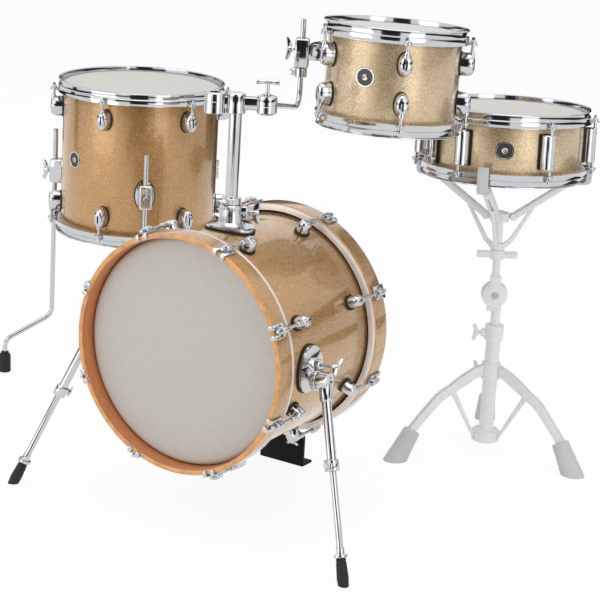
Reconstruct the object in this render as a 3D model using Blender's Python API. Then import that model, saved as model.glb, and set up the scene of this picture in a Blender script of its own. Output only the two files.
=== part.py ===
"""Drum kit: bass drum on spurs with a pedal lift, rack tom on a ball arm, floor tom and snare drum on its stand.

The frame stands on the floor under the pedal lift: +Z up, +Y from the front head to the player.
All lengths are in metres.
"""
import math

import bmesh
import bpy
from mathutils import Matrix, Vector

# Running gap between neighbouring pieces
gap = 0.0003

# Facets around the bass drum and around the tuned drums
bass_facets = 40
drum_facets = 28

# Bass drum
bass_centre = Vector((0.045, -0.2754, 0.3316))
bass_radius = 0.2032
bass_length = 0.3048
bass_wall = 0.008
bass_lugs = 8
bass_hoop_width = 0.040
bass_hoop_thickness = 0.0100
bass_hoop_reach = 0.028
bass_lug_inset = 0.064
bass_lug_length = 0.030
bass_lug_width = 0.024
claw_width = 0.026
claw_plate = 0.0038
claw_prong = 0.0085
claw_skirt = 0.030
claw_tip = 0.0080
claw_boss_radius = 0.0074
bass_collar = 0.0030
bass_hoop_clearance = 0.0040
bass_flesh_height = 0.0086
bass_flesh_inset = 0.0018
bass_rod_offset = 0.0106

# Spurs
spur_plate_length = 0.070
spur_plate_height = 0.086
spur_plate_drop = 0.006
spur_inset = 0.094
spur_standoff = 0.046
spur_foot_spread = 0.3653
spur_foot_forward = 0.0043
spur_tube_radius = 0.0084
spur_rod_radius = 0.0060
spur_clamp_along = 0.156
spur_ring_along = 0.296
spur_pivot_drop = 0.0136
spur_knuckle_half = 0.0105
spur_knuckle_radius = 0.0160
spur_disc_radius = 0.0185
spur_cheek_radius = 0.0100
spur_cheek_offset = Vector((0.0, 0.010, 0.0245))
spur_sleeve_radius = 0.0108
spur_collar_radius = 0.0122
spur_collar_length = 0.018
spur_bolt_span = 0.040
spur_screw_span = 0.020

# Pedal lift
lift_width = 0.100
lift_depth = 0.034
lift_plate = 0.005
lift_rise = 0.062
lift_jaw_depth = 0.034
lift_jaw_plate = 0.007
lift_lip_height = 0.018
lift_lip_plate = 0.012
lift_clamp_radius = 0.023
lift_clamp_side = 0.030
lift_nut_span = 0.030
lift_eye_side = 0.003

# Tom holder
post_inset = 0.1514
post_radius = 0.0112
post_length = 0.2215
post_collar_radius = 0.0172
post_collar_height = 0.012
holder_plate_length = 0.092
holder_plate_width = 0.074
holder_plate_top = 0.0088
receiver_height = 0.035
receiver_radius = 0.0205
receiver_ear = 0.0305
holder_bolt_span = 0.040
block_angle = math.radians(32.0)
block_height = 0.036
block_cap = 0.027
block_cap_radius = 0.0170
block_clamp_reach = 0.037
block_clamp_radius = 0.0190
block_web_width = 0.016
ball_radius = 0.0125
ball_reach = 0.054
ball_housing_radius = 0.0182
ball_housing_top = 0.0165
t_screw_length = 0.0235
t_screw_half = 0.0205
arm_radius = 0.0048
arm_bend = 0.030

# Rack tom
tom_top = Vector((0.1796, 0.0081, 0.8775))
tom_axis = Vector((-0.0041, 0.0576, 0.9983))
tom_radius = 0.123
tom_depth = 0.1716
tom_lugs = 5
tom_first_lug = math.radians(-51.5)
tom_rod_angle = math.radians(-150.0)
tom_rod_reach = 0.170
tom_rod_top = 0.886
tom_rod_bottom = 0.722
memory_z = 0.779
memory_height = 0.017
memory_radius = 0.0110
bracket_height = 0.054
bracket_half = 0.013
bracket_bolt_span = 0.044
band_plate = 0.0040
band_height = 0.020
band_facets = 36
rack_badge_angle = math.radians(-83.7)
rack_badge_drop = 0.080

# Floor tom
floor_top = Vector((-0.5411, 0.2072, 0.6519))
floor_radius = 0.1651
floor_depth = 0.3048
floor_lugs = 6
floor_first_lug = math.radians(-78.75)
floor_leg_angles = {"front": -48.75, "left": -157.0, "rear": 71.25}
floor_foot_angles = {"front": -48.75, "left": -146.0, "rear": 71.25}
floor_leg_radius = 0.0053
floor_bracket_height = 0.052
floor_bracket_z = 0.450
floor_leg_top = 0.540
floor_leg_bend = 0.125
floor_foot_spread = 0.1149
floor_foot_radius = 0.0135
floor_foot_height = 0.047
floor_bolt_span = 0.044
floor_badge_angle = math.radians(-108.1)
floor_badge_drop = 0.1479

# Snare drum
snare_top = Vector((0.2686, 0.3108, 0.7037))
snare_axis = Vector((-0.0364, 0.0397, 0.9985))
snare_radius = 0.1524
snare_depth = 0.118
snare_lugs = 6
snare_first_lug = math.radians(-93.5)
strainer_angle = math.radians(-123.5)
snare_badge_angle = math.radians(-63.6)
snare_bridge = 0.066
snare_bridge_radius = 0.0140
strainer_width = 0.030
strainer_depth = 0.0192
lever_length = 0.046
lever_level = -0.020

# Shared by the tuned drums
shell_wall = 0.006
edge_drop = 0.0046
edge_in = 0.0036
film = 0.0009
flesh_height = 0.0062
flesh_reach = 0.0078
rim_clearance = 0.0046
rim_seat = 0.0040
rim_skirt = 0.0150
rim_shoulder = 0.0108
rim_height = 0.0110
rim_plate = 0.0022
rim_reach = 0.0145
badge_radius = 0.0145
badge_plate = 0.0012
wing_plate = 0.0017
wing_hub_radius = 0.0056
ear_length = 0.020
ear_width = 0.017
ear_reach = 0.0195
lug_reach = 0.0262
lug_height = 0.044
lug_width = 0.027
lug_inset = 0.050
lug_taper = 0.72
rod_radius = 0.0029

# Snare stand, with levels along the snare's axis counted from the middle of the shell
stand_place = Vector((0.281, 0.312, 0.0))
stand_tube_radius = 0.0145
stand_tube_top = 0.262
stand_collar_z = 0.172
stand_collar_radius = 0.0195
stand_ring_radius = 0.0280
stand_upper_radius = 0.0095
stand_upper_low = 0.110
stand_wing_angle = -150.0
stand_ear_reach = 0.0265
stand_ring_low = 0.024
stand_ring_high = 0.046
stand_ear_drop = 0.012
stand_screw_span = 0.036
stand_leg_half = 0.0060
stand_brace_half = 0.0045
stand_pad_top = 0.060
stand_pad_radius = 0.0225
stand_leg_spread = 0.200
stand_leg_angles = {"left": -123.0, "right": -3.0, "rear": 117.0}
stand_arm_angles = {"front": -76.0, "left": -172.0, "right": 40.0}
stand_nut_angle = 32.0
tilter_angle = -58.0
tilter_level = -0.310
basket_level = -0.153
basket_rod_radius = 0.0078
nut_level = -0.238
nut_radius = 0.0150
nut_height = 0.018
nut_bar_half = 0.040
hub_radius = 0.0190
hub_half = 0.009
crown_radius = 0.0130
crown_height = 0.014
knuckle_radius = 0.0072
knuckle_half = 0.0095
arm_width = 0.018
strut_share = 0.30
strut_half = 0.0035
tilter_radius = 0.0260
tilter_plate = 0.0150
turning_radius = 0.0250
turning_plate = 0.0140
stem_length = 0.030

UP = Vector((0.0, 0.0, 1.0))
ORIGIN = Vector((0.0, 0.0, 0.0))

# Colour, metallic and roughness of each finish
finishes = {
    "sparkle": ((0.450, 0.270, 0.125), 0.55, 0.35),
    "pale_sparkle": ((0.610, 0.450, 0.290), 0.55, 0.35),
    "wood_hoop": ((0.560, 0.290, 0.110), 0.10, 0.30),
    "film": ((0.640, 0.630, 0.590), 0.0, 0.55),
    "chrome": ((0.780, 0.790, 0.800), 1.0, 0.08),
    "black_steel": ((0.020, 0.020, 0.022), 0.20, 0.40),
    "rubber": ((0.018, 0.018, 0.018), 0.0, 0.80),
    "pale_metal": ((0.820, 0.830, 0.840), 0.30, 0.35),
}


def clear_scene():
    """Removes what the scene holds at the start."""
    for item in list(bpy.data.objects):
        bpy.data.objects.remove(item, do_unlink=True)


def material(key):
    """Makes or finds the material of one finish."""
    found = bpy.data.materials.get(key)
    if found:
        return found
    colour, metallic, roughness = finishes[key]
    made = bpy.data.materials.new(key)
    made.use_nodes = True
    shader = made.node_tree.nodes["Principled BSDF"]
    shader.inputs["Base Color"].default_value = (*colour, 1.0)
    shader.inputs["Metallic"].default_value = metallic
    shader.inputs["Roughness"].default_value = roughness
    return made


def polar(angle, reach, height=0.0):
    """Point at an angle and reach about the Z axis."""
    return Vector((reach * math.cos(angle), reach * math.sin(angle), height))


def spaced(first, count):
    """Angles of evenly spaced fittings."""
    return [first + index * math.tau / count for index in range(count)]


def frame_at(origin, axis):
    """Local frame with its Z along the axis and its X close to the world X."""
    z = Vector(axis).normalized()
    y = z.cross(Vector((1.0, 0.0, 0.0))).normalized()
    x = y.cross(z)
    return Matrix.Translation(origin) @ Matrix((x, y, z)).transposed().to_4x4()


def frame_along(origin, z_axis, x_axis):
    """Local frame with a given Z and an X as close as possible to the given one."""
    z = Vector(z_axis).normalized()
    y = z.cross(Vector(x_axis)).normalized()
    x = y.cross(z)
    return Matrix.Translation(origin) @ Matrix((x, y, z)).transposed().to_4x4()


def lathe(profile, segments, closed=True):
    """Solid of revolution about Z from (radius, height) points."""
    bm = bmesh.new()
    points = [bm.verts.new((radius, 0.0, height)) for radius, height in profile]
    edges = [bm.edges.new(pair) for pair in zip(points, points[1:])]
    if closed:
        edges.append(bm.edges.new((points[-1], points[0])))
    bmesh.ops.spin(bm, geom=points + edges, cent=ORIGIN, axis=UP, dvec=ORIGIN, angle=math.tau,
                   steps=segments, use_merge=True)
    bmesh.ops.remove_doubles(bm, verts=bm.verts, dist=1e-6)
    bmesh.ops.recalc_face_normals(bm, faces=bm.faces)
    return bm


def barrel(start, end, radius, segments=16, end_radius=None):
    """Cylinder or cone between two points."""
    start = Vector(start)
    line = Vector(end) - start
    top = radius if end_radius is None else end_radius
    bm = bmesh.new()
    bmesh.ops.create_cone(bm, cap_ends=True, cap_tris=False, segments=segments, radius1=radius,
                          radius2=top, depth=line.length)
    side = Vector((1.0, 0.0, 0.0)) if abs(line.normalized().x) < 0.9 else Vector((0.0, 1.0, 0.0))
    bm.transform(frame_along(start + line / 2, line, side))
    return bm


def box(size, centre, bevel=0.0, segments=1):
    """Rectangular block, with rounded edges where a bevel is given."""
    bm = bmesh.new()
    bmesh.ops.create_cube(bm, size=1.0)
    bm.transform(Matrix.Translation(centre) @ Matrix.Diagonal((*size, 1.0)))
    if bevel:
        bmesh.ops.bevel(bm, geom=bm.edges[:], offset=bevel, segments=segments, profile=0.5, affect="EDGES")
    return bm


def prism(outline, low, high):
    """Flat outline in X and Y carried from one height to another."""
    bm = bmesh.new()
    face = bm.faces.new([bm.verts.new((x, y, low)) for x, y in outline])
    raised = bmesh.ops.extrude_face_region(bm, geom=[face])
    moved = [item for item in raised["geom"] if isinstance(item, bmesh.types.BMVert)]
    bmesh.ops.translate(bm, verts=moved, vec=(0.0, 0.0, high - low))
    bmesh.ops.recalc_face_normals(bm, faces=bm.faces)
    return bm


def oval(length, width, count=20):
    """Outline of an ellipse."""
    steps = [index * math.tau / count for index in range(count)]
    return [(length / 2 * math.cos(step), width / 2 * math.sin(step)) for step in steps]


def sweep(path, radius, segments=12):
    """Round bar along a path of points, mitred where it turns."""
    points = [Vector(point) for point in path]
    bm = bmesh.new()
    first = (points[1] - points[0]).normalized()
    side = first.cross(Vector((0.31, 0.87, 0.39))).normalized()
    rings = []
    for index, point in enumerate(points):
        before = (point - points[index - 1]).normalized() if index else first
        after = (points[index + 1] - point).normalized() if index < len(points) - 1 else before
        middle = (before + after).normalized()
        side = (side - before * side.dot(before)).normalized()
        other = before.cross(side)
        ring = []
        for step in range(segments):
            turn = step * math.tau / segments
            offset = (side * math.cos(turn) + other * math.sin(turn)) * radius
            slide = -offset.dot(middle) / before.dot(middle)
            ring.append(bm.verts.new(point + offset + before * slide))
        rings.append(ring)
        side = (side - after * side.dot(after)).normalized()
    for low, high in zip(rings, rings[1:]):
        for step in range(segments):
            nxt = (step + 1) % segments
            bm.faces.new((low[step], low[nxt], high[nxt], high[step]))
    bm.faces.new(rings[0][::-1])
    bm.faces.new(rings[-1])
    bmesh.ops.recalc_face_normals(bm, faces=bm.faces)
    return bm


def rounded(path, radius, steps=5):
    """Path with its inner corners replaced by arcs."""
    points = [Vector(point) for point in path]
    result = [points[0]]
    for before, corner, after in zip(points, points[1:], points[2:]):
        to_before = (before - corner).normalized()
        to_after = (after - corner).normalized()
        half = to_before.angle(to_after) / 2
        reach = min(radius / math.tan(half), (before - corner).length * 0.45, (after - corner).length * 0.45)
        start = corner + to_before * reach
        end = corner + to_after * reach
        for index in range(steps + 1):
            share = index / steps
            first = start.lerp(corner, share)
            second = corner.lerp(end, share)
            result.append(first.lerp(second, share))
    result.append(points[-1])
    return result


def join(pieces):
    """Puts several solids into one mesh without fusing them."""
    whole = bmesh.new()
    for piece in pieces:
        mesh = bpy.data.meshes.new("join")
        piece.to_mesh(mesh)
        piece.free()
        whole.from_mesh(mesh)
        bpy.data.meshes.remove(mesh)
    return whole


def combine(base, tool, operation):
    """Boolean of two solids; the tool may hold several that overlap."""
    objects = []
    for piece in (base, tool):
        mesh = bpy.data.meshes.new("work")
        piece.to_mesh(mesh)
        piece.free()
        item = bpy.data.objects.new("work", mesh)
        bpy.context.scene.collection.objects.link(item)
        objects.append(item)
    step = objects[0].modifiers.new("Boolean", "BOOLEAN")
    step.operation = operation
    step.solver = "EXACT"
    step.use_self = True
    step.object = objects[1]
    graph = bpy.context.evaluated_depsgraph_get()
    mesh = bpy.data.meshes.new_from_object(objects[0].evaluated_get(graph))
    result = bmesh.new()
    result.from_mesh(mesh)
    bpy.data.meshes.remove(mesh)
    for item in objects:
        spent = item.data
        bpy.data.objects.remove(item, do_unlink=True)
        bpy.data.meshes.remove(spent)
    return result


def fuse(base, pieces):
    """Union of a base solid and several others."""
    return combine(base, join(pieces), "UNION")


def cut(base, pieces):
    """Base solid less several others."""
    return combine(base, join(pieces), "DIFFERENCE")


def emit(name, bm, finish, origin=ORIGIN):
    """Makes the named object, with its origin at the given point."""
    bmesh.ops.remove_doubles(bm, verts=bm.verts, dist=2e-6)
    bmesh.ops.dissolve_degenerate(bm, dist=2e-6, edges=bm.edges)
    bm.transform(Matrix.Translation(-Vector(origin)))
    mesh = bpy.data.meshes.new(name)
    bm.to_mesh(mesh)
    bm.free()
    mesh.materials.append(material(finish))
    for face in mesh.polygons:
        face.use_smooth = True
        face.material_index = 0
    mesh.set_sharp_from_angle(angle=math.radians(32.0))
    item = bpy.data.objects.new(name, mesh)
    item.location = origin
    bpy.context.scene.collection.objects.link(item)
    return item


def wing_screw(foot, direction, wing_axis, shaft, hub, span, shaft_radius=0.0030):
    """Wing screw: shaft, hub and two wings; the foot is the tip of the shaft."""
    frame = frame_along(foot, direction, wing_axis)
    # Half of the wing in shares of the span and of the hub's height
    half = [(0.30, 0.35), (0.50, 1.10), (0.40, 1.50), (0.16, 0.90)]
    right = [(across * span, shaft + rise * hub) for across, rise in half]
    left = [(-across, height) for across, height in reversed(right)]
    wing = prism([(0.0, shaft + 0.0004)] + right + left, -wing_plate, wing_plate)
    wing.transform(Matrix.Rotation(math.radians(90.0), 4, "X"))
    core = barrel((0, 0, shaft), (0, 0, shaft + hub), wing_hub_radius, 8, wing_hub_radius - 0.0010)
    body = fuse(barrel((0, 0, 0), (0, 0, shaft + hub * 0.5), shaft_radius, 8), [wing, core])
    body.transform(frame)
    return body


def counter_hoop(radius, half, side, angles, lug_face):
    """Triple-flange counter hoop with its ears, rod heads and tension rods; side is 1 for the top."""
    wall = radius + rim_clearance
    outer = radius + rim_shoulder
    seat = half - rim_seat
    skirt = half - rim_skirt
    top = half + rim_height
    inside = radius + flesh_reach + gap * 2
    points = [
        (inside, seat), (wall, seat), (wall, top), (outer - gap, top - 0.0006),
        (wall + rim_plate, top - 0.0034), (wall + rim_plate, seat + rim_plate), (outer, seat + 0.0004),
        (radius + rim_reach, skirt), (inside, skirt),
    ]
    ring = lathe([(r, side * z) for r, z in points], drum_facets)
    fittings = []
    for angle in angles:
        ear_centre = (radius + ear_reach + ear_width / 2 - ear_length / 2, 0.0, side * (skirt + rim_plate * 0.7))
        ear = box((ear_length, ear_width, rim_plate), ear_centre)
        ear.transform(Matrix.Rotation(angle, 4, "Z"))
        centre = polar(angle, radius + ear_reach)
        rod = barrel(centre + UP * side * seat, centre + UP * side * (lug_face + gap), rod_radius, 6)
        fittings.extend((ear, rod))
    return fuse(ring, fittings)


def drum_head(radius, half, side):
    """Head: flat film, collar over the bearing edge and flesh hoop."""
    seat = half - rim_seat - gap
    flesh = radius + flesh_reach
    points = [
        (0.0, half + gap + film), (radius - edge_in + 0.0002, half + gap + film), (radius + 0.0040, seat),
        (flesh, seat), (flesh, seat - flesh_height), (radius + gap, seat - flesh_height),
        (radius + gap, half - edge_drop + 0.0014), (radius - edge_in + 0.0002, half + gap), (0.0, half + gap),
    ]
    return lathe([(r, side * z) for r, z in points], drum_facets, closed=False)


def shell_ring(radius, half, wall, facets):
    """Shell with bevelled bearing edges."""
    points = []
    for side in (1, -1):
        edge = [(radius, half - edge_drop), (radius - edge_in, half), (radius - wall, half - edge_drop / 2)]
        points.extend((r, side * z) for r, z in (edge if side > 0 else edge[::-1]))
    return lathe(points, facets)


def shell_room(radius, half, facets):
    """Solid that leaves one gap outside a shell of as many facets."""
    reach = radius + gap / math.cos(math.pi / facets)
    return lathe([(0.0, -half), (reach, -half), (reach, half), (0.0, half)], facets, closed=False)


def oval_lug(radius, angle, z, height, width):
    """Oval lug on a gasket, widest at the shell and rounded on its face."""
    rows = [(-0.0040, 1.0), (lug_reach, lug_taper)]
    bm = bmesh.new()
    rings = []
    for reach, share in rows:
        rings.append([bm.verts.new((radius + reach, y, x)) for x, y in oval(height * share, width * share, 8)])
    for low, high in zip(rings, rings[1:]):
        for index in range(len(low)):
            nxt = (index + 1) % len(low)
            bm.faces.new((low[index], low[nxt], high[nxt], high[index]))
    bm.faces.new(rings[0])
    bm.faces.new(rings[-1])
    bmesh.ops.recalc_face_normals(bm, faces=bm.faces)
    bm.transform(Matrix.Rotation(angle, 4, "Z") @ Matrix.Translation((0.0, 0.0, z)))
    return bm


def tuned_drum(prefix, top, axis, radius, depth, angles, finish, extra, bridge):
    """Shell, heads and hoops of a tom or snare drum; returns its local frame."""
    half = depth / 2
    frame = frame_at(top - Vector(axis).normalized() * half, axis)
    fittings = []
    face = lug_inset - lug_height / 2 * (1.0 - (1.0 - lug_taper) * (ear_reach - rod_radius) / lug_reach)
    for angle in angles:
        if bridge:
            reach = bridge / 2
            centre = polar(angle, radius + ear_reach * 0.5)
            fittings.append(barrel(centre - UP * reach, centre + UP * reach, snare_bridge_radius, 10))
        else:
            for side in (1, -1):
                z = side * (half - lug_inset)
                fittings.append(oval_lug(radius, angle, z, lug_height, lug_width))
    lug_face = bridge / 2 if bridge else half - face
    shell = fuse(shell_ring(radius, half, shell_wall, drum_facets), fittings)
    shell = extra(shell, half)
    shell.transform(frame)
    emit(prefix + "_shell", shell, finish)
    for side, place in ((1, "batter"), (-1, "bottom")):
        head = drum_head(radius, half, side)
        head.transform(frame)
        emit(f"{prefix}_{place}_head", head, "film")
        hoop = counter_hoop(radius, half, side, angles, lug_face)
        hoop.transform(frame)
        emit(f"{prefix}_{place}_hoop", hoop, "chrome")
    return frame


def badge(radius, angle, z):
    """Plain round badge on the shell."""
    return barrel(polar(angle, radius - shell_wall / 2, z), polar(angle, radius + badge_plate, z), badge_radius, 12)


def bass_frame():
    """Frame of the bass drum with its Z toward the player."""
    return Matrix.Translation(bass_centre) @ Matrix(((1, 0, 0), (0, 0, 1), (0, -1, 0))).to_4x4()


def bass_hoop_outer():
    """Outside radius of a wooden hoop."""
    return bass_radius + bass_hoop_clearance + bass_hoop_thickness


def bass_claw(angle, side, face, lug_face):
    """Two-pronged claw with its web, boss and tension rod at one angle; side is 1 for the player's end."""
    rod_place = polar(angle, bass_radius + bass_hoop_thickness + bass_rod_offset)
    hoop_outer = bass_hoop_outer()
    low, high = hoop_outer - 0.0010, hoop_outer + claw_plate
    tip = hoop_outer - claw_tip
    prong = [(low, face - claw_skirt), (low, face - 0.0006), (tip, face - 0.0006), (tip, face + claw_plate),
             (high, face + claw_plate), (high, face - claw_skirt)]
    web_end = face - claw_skirt - 0.002
    web = [(low, web_end), (low, face - 0.013), (high, face - 0.013), (high, web_end)]
    half = claw_width / 2
    parts = []
    for outline, start, end in ((prong, -half, claw_prong - half), (prong, half - claw_prong, half),
                                (web, 0.0010 - half, half - 0.0010)):
        parts.append(turned(prism([(reach, side * z) for reach, z in outline], start, end), angle))
    for start, end, radius in ((face - claw_skirt, face - 0.002, claw_boss_radius),
                               (face - 0.010, lug_face + gap, rod_radius)):
        parts.append(barrel(rod_place + UP * side * start, rod_place + UP * side * end, radius, 6))
    return parts


def bass_head(side, half, seat):
    """Bass drum head: film, collar over the bearing edge and flesh hoop under the wooden hoop."""
    collar = bass_radius + bass_collar
    flesh = bass_hoop_outer() - bass_flesh_inset
    points = [
        (0.0, half + gap + film), (bass_radius - 0.0042, half + gap + film), (collar, half - 0.0040),
        (collar, seat - gap), (flesh, seat - gap), (flesh, seat - bass_flesh_height),
        (bass_radius + gap, seat - bass_flesh_height), (bass_radius + gap, half - edge_drop + 0.0014),
        (bass_radius - edge_in + 0.0002, half + gap), (0.0, half + gap),
    ]
    return lathe([(r, side * z) for r, z in points], bass_facets, closed=False)


def make_bass_drum():
    """Shell, two heads and two wooden hoops with claws."""
    frame = bass_frame()
    half = bass_length / 2
    angles = spaced(math.pi / bass_lugs, bass_lugs)
    lug_z = half - bass_lug_inset
    lugs = [oval_lug(bass_radius, angle, side * lug_z, bass_lug_length, bass_lug_width)
            for angle in angles for side in (1, -1)]
    shell = fuse(shell_ring(bass_radius, half, bass_wall, bass_facets), lugs)
    shell.transform(frame)
    emit("bass_shell", shell, "sparkle")
    hoop_inner = bass_radius + bass_hoop_clearance
    hoop_outer = bass_hoop_outer()
    face = half + bass_hoop_reach
    seat = face - bass_hoop_width
    taper = 1.0 - (1.0 - lug_taper) * (bass_hoop_thickness + bass_rod_offset - rod_radius) / lug_reach
    lug_face = lug_z + bass_lug_length / 2 * taper
    for side, place in ((-1, "front"), (1, "batter")):
        head = bass_head(side, half, seat)
        head.transform(frame)
        emit(f"bass_{place}_head", head, "film")
        section = [
            (hoop_inner, seat), (hoop_inner, face - 0.0020), (hoop_inner + 0.0020, face),
            (hoop_outer - 0.0022, face), (hoop_outer, face - 0.0022), (hoop_outer, seat),
        ]
        ring = lathe([(r, side * z) for r, z in section], bass_facets)
        claws = []
        for angle in angles:
            claws.extend(bass_claw(angle, side, face, lug_face))
        hoop = fuse(ring, claws)
        hoop.transform(frame)
        emit(f"bass_{place}_hoop", hoop, "wood_hoop")


def spur_points(side):
    """Pivot and foot of one spur; side is 1 for the right, -1 for the left."""
    front = bass_centre.y - bass_length / 2 - bass_hoop_reach
    pivot = Vector((bass_centre.x + side * (bass_radius + spur_standoff), front + spur_inset,
                    bass_centre.z - spur_pivot_drop))
    foot = Vector((bass_centre.x + side * spur_foot_spread, front + spur_foot_forward, 0.0))
    return pivot, foot


def make_spur(side, prefix):
    """Spur bracket on its oval plate, swivelling tube, sliding rod, foot and wing screws."""
    pivot, foot = spur_points(side)
    along = (foot - pivot).normalized()
    fold = fold_axis(side)
    cheek_face = make_spur_bracket(side, prefix, pivot, fold)
    clamp = pivot + along * spur_clamp_along
    screw_way = along.cross(fold).normalized()
    ear_centre = clamp - along * spur_collar_length / 2 + screw_way * spur_collar_radius
    make_spur_tube(prefix, pivot, along, fold, ear_centre, screw_way)
    # Sliding rod with its neck and ring
    ring = pivot + along * spur_ring_along
    disc = barrel(ring + along * 0.0025, ring + along * 0.0075, spur_collar_radius, 12)
    rod = fuse(barrel(clamp - along * 0.048, ring + along * 0.004, spur_rod_radius * 0.985, 12),
               [disc, rubber_foot(ring, along, foot)])
    emit(f"{prefix}_spur_rod", rod, "chrome", clamp)
    # Wing screws of the bracket and of the clamp
    bolt_foot = cheek_face + fold * gap
    shaft = spur_knuckle_half * 2 + 0.0015
    bolt = wing_screw(bolt_foot, fold, Vector((0.0, 0.8, 0.6)), shaft, 0.012, spur_bolt_span)
    emit(f"{prefix}_spur_wing_bolt", bolt, "chrome", bolt_foot)
    screw_foot = ear_centre + screw_way * (0.0035 + gap)
    screw = wing_screw(screw_foot, screw_way, along, 0.003, 0.009, spur_screw_span, 0.0024)
    emit(f"{prefix}_spur_clamp_screw", screw, "chrome", screw_foot)


def make_spur_bracket(side, prefix, pivot, fold):
    """Oval plate bent round the shell with the casting that carries the tube; returns the bolt's seat."""
    plate_centre = Vector((bass_centre.x, pivot.y + 0.0187, bass_centre.z - spur_plate_drop))
    outline = oval(spur_plate_length, spur_plate_height, 14)
    plate = prism(outline, bass_radius - 0.012, bass_radius + 0.0090)
    plate.transform(frame_along(plate_centre, (side, 0, 0), (0, 1, 0)))
    hub = pivot - fold * (spur_knuckle_half + gap)
    stem_start = plate_centre + Vector((side * (bass_radius + 0.004), 0.0, 0.0))
    stem = barrel(stem_start, hub, spur_disc_radius, 14, spur_disc_radius - 0.002)
    disc = barrel(hub - fold * spur_cheek_radius, hub, spur_disc_radius, 14)
    cheek_face = hub + spur_cheek_offset - fold * (spur_cheek_offset.dot(fold) + 0.0005)
    cheek = barrel(cheek_face - fold * spur_knuckle_half, cheek_face, spur_cheek_radius, 10)
    bracket = fuse(plate, [stem, disc, cheek])
    bracket = cut(bracket, [bass_room(), barrel(hub, hub + fold * 0.050, 0.050, 14)])
    emit(f"{prefix}_spur_bracket", bracket, "chrome")
    return cheek_face


def make_spur_tube(prefix, pivot, along, fold, ear_centre, screw_way):
    """Swivelling tube with its knuckle, sleeve, clamp collar and screw ear."""
    clamp = pivot + along * spur_clamp_along
    knuckle = barrel(pivot - fold * spur_knuckle_half, pivot + fold * spur_knuckle_half, spur_knuckle_radius, 14)
    sleeve = barrel(pivot + along * 0.008, pivot + along * 0.036, spur_sleeve_radius, 12)
    pipe = barrel(pivot + along * 0.010, clamp, spur_tube_radius, 12)
    collar = barrel(clamp - along * spur_collar_length, clamp, spur_collar_radius, 12)
    ear = barrel(ear_centre - screw_way * 0.006, ear_centre + screw_way * 0.0035, 0.0068, 8)
    tube = fuse(knuckle, [sleeve, pipe, collar, ear])
    tube = cut(tube, [barrel(pivot + along * 0.020, clamp + along * 0.01, spur_rod_radius + gap, 12)])
    emit(f"{prefix}_spur_tube", tube, "chrome", pivot)


def rubber_foot(ring, along, foot):
    """Rubber foot from the rod's ring to the floor, cut level with it."""
    start = ring + along * 0.007
    body = barrel(start, foot + along * 0.02, 0.0098, 12, 0.0106)
    floor = box((0.2, 0.2, 0.1), (foot.x, foot.y, -0.05))
    return cut(body, [floor])


def fold_axis(side):
    """Axis about which a spur folds back along the shell."""
    return Vector((side * 1.0, 0.073, 0.090)).normalized()


def bass_room():
    """Solid that leaves one gap outside the bass drum's shell."""
    room = shell_room(bass_radius, bass_length / 2, bass_facets)
    room.transform(bass_frame())
    return room


def make_lift():
    """Pedal lift: foot, upright and jaw in one bent plate, with the half-disc clamp and its wing nut."""
    hoop_outer = bass_hoop_outer()
    face = bass_centre.y + bass_length / 2 + bass_hoop_reach
    under = bass_centre.z - hoop_outer - gap
    half = lift_depth / 2
    knee = Vector((0.0, -half, lift_rise - 0.006))
    jaw = Vector((0.0, face + 0.002, under - lift_jaw_plate))
    outline = [
        (-half, 0.0), (half, 0.0), (half, lift_plate), (-half + lift_plate, lift_plate),
        (-half + lift_plate, lift_rise), (face + lift_lip_plate, under + 0.004),
        (face + lift_lip_plate, under + lift_lip_height), (face + gap, under + lift_lip_height), (face + gap, under),
        (face - lift_jaw_depth, under), (face - lift_jaw_depth, jaw.z), (jaw.y, jaw.z), (knee.y, knee.z),
    ]
    body = prism(outline, -lift_width / 2, lift_width / 2)
    body.transform(Matrix(((0, 0, 1, 0), (1, 0, 0, 0), (0, 1, 0, 0), (0, 0, 0, 1))))
    room = barrel(Vector((bass_centre.x, face - 0.08, bass_centre.z)),
                  Vector((bass_centre.x, face + gap, bass_centre.z)), hoop_outer + gap, 64)
    relief = box((0.05, 0.10, 0.10), (-0.043, face - 0.024, under + 0.030))
    body = cut(body, [room, relief])
    # Half-disc clamp and wing nut on the sloped face
    slope = (jaw - knee).normalized()
    outward = Vector((0.0, slope.z, -slope.y))
    outward = outward if outward.y < 0 else -outward
    clamp_centre = knee + slope * 0.034 + Vector((lift_clamp_side, 0.0, 0.0))
    circle = oval(lift_clamp_radius * 2, lift_clamp_radius * 2, 16)
    disc = prism([(x, z) for x, z in circle if z <= 0.0001], 0.0, 0.010)
    disc.transform(frame_along(clamp_centre + slope * 0.006 - outward * 0.003, outward, (1.0, 0.0, 0.0)))
    nut_foot = clamp_centre - slope * 0.030
    stud = barrel(nut_foot - outward * 0.002, nut_foot + outward * 0.0046, 0.0065, 10)
    nut = wing_screw(nut_foot - outward * 0.001, outward, (1.0, 0.0, 0.3), 0.005, 0.010, lift_nut_span)
    # Eye at the left end of the jaw with the end of its screw
    eye = Vector((lift_width / 2 + lift_eye_side, face + 0.024, under - 0.011))
    peg = barrel(eye + Vector((0.0, 0.012, 0.0)), eye + Vector((0.0, 0.042, 0.0)), 0.0052, 10)
    body = fuse(body, [disc, stud, nut, fuse(box((0.012, 0.034, 0.012), eye), [peg])])
    emit("pedal_lift", body, "black_steel")


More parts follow.
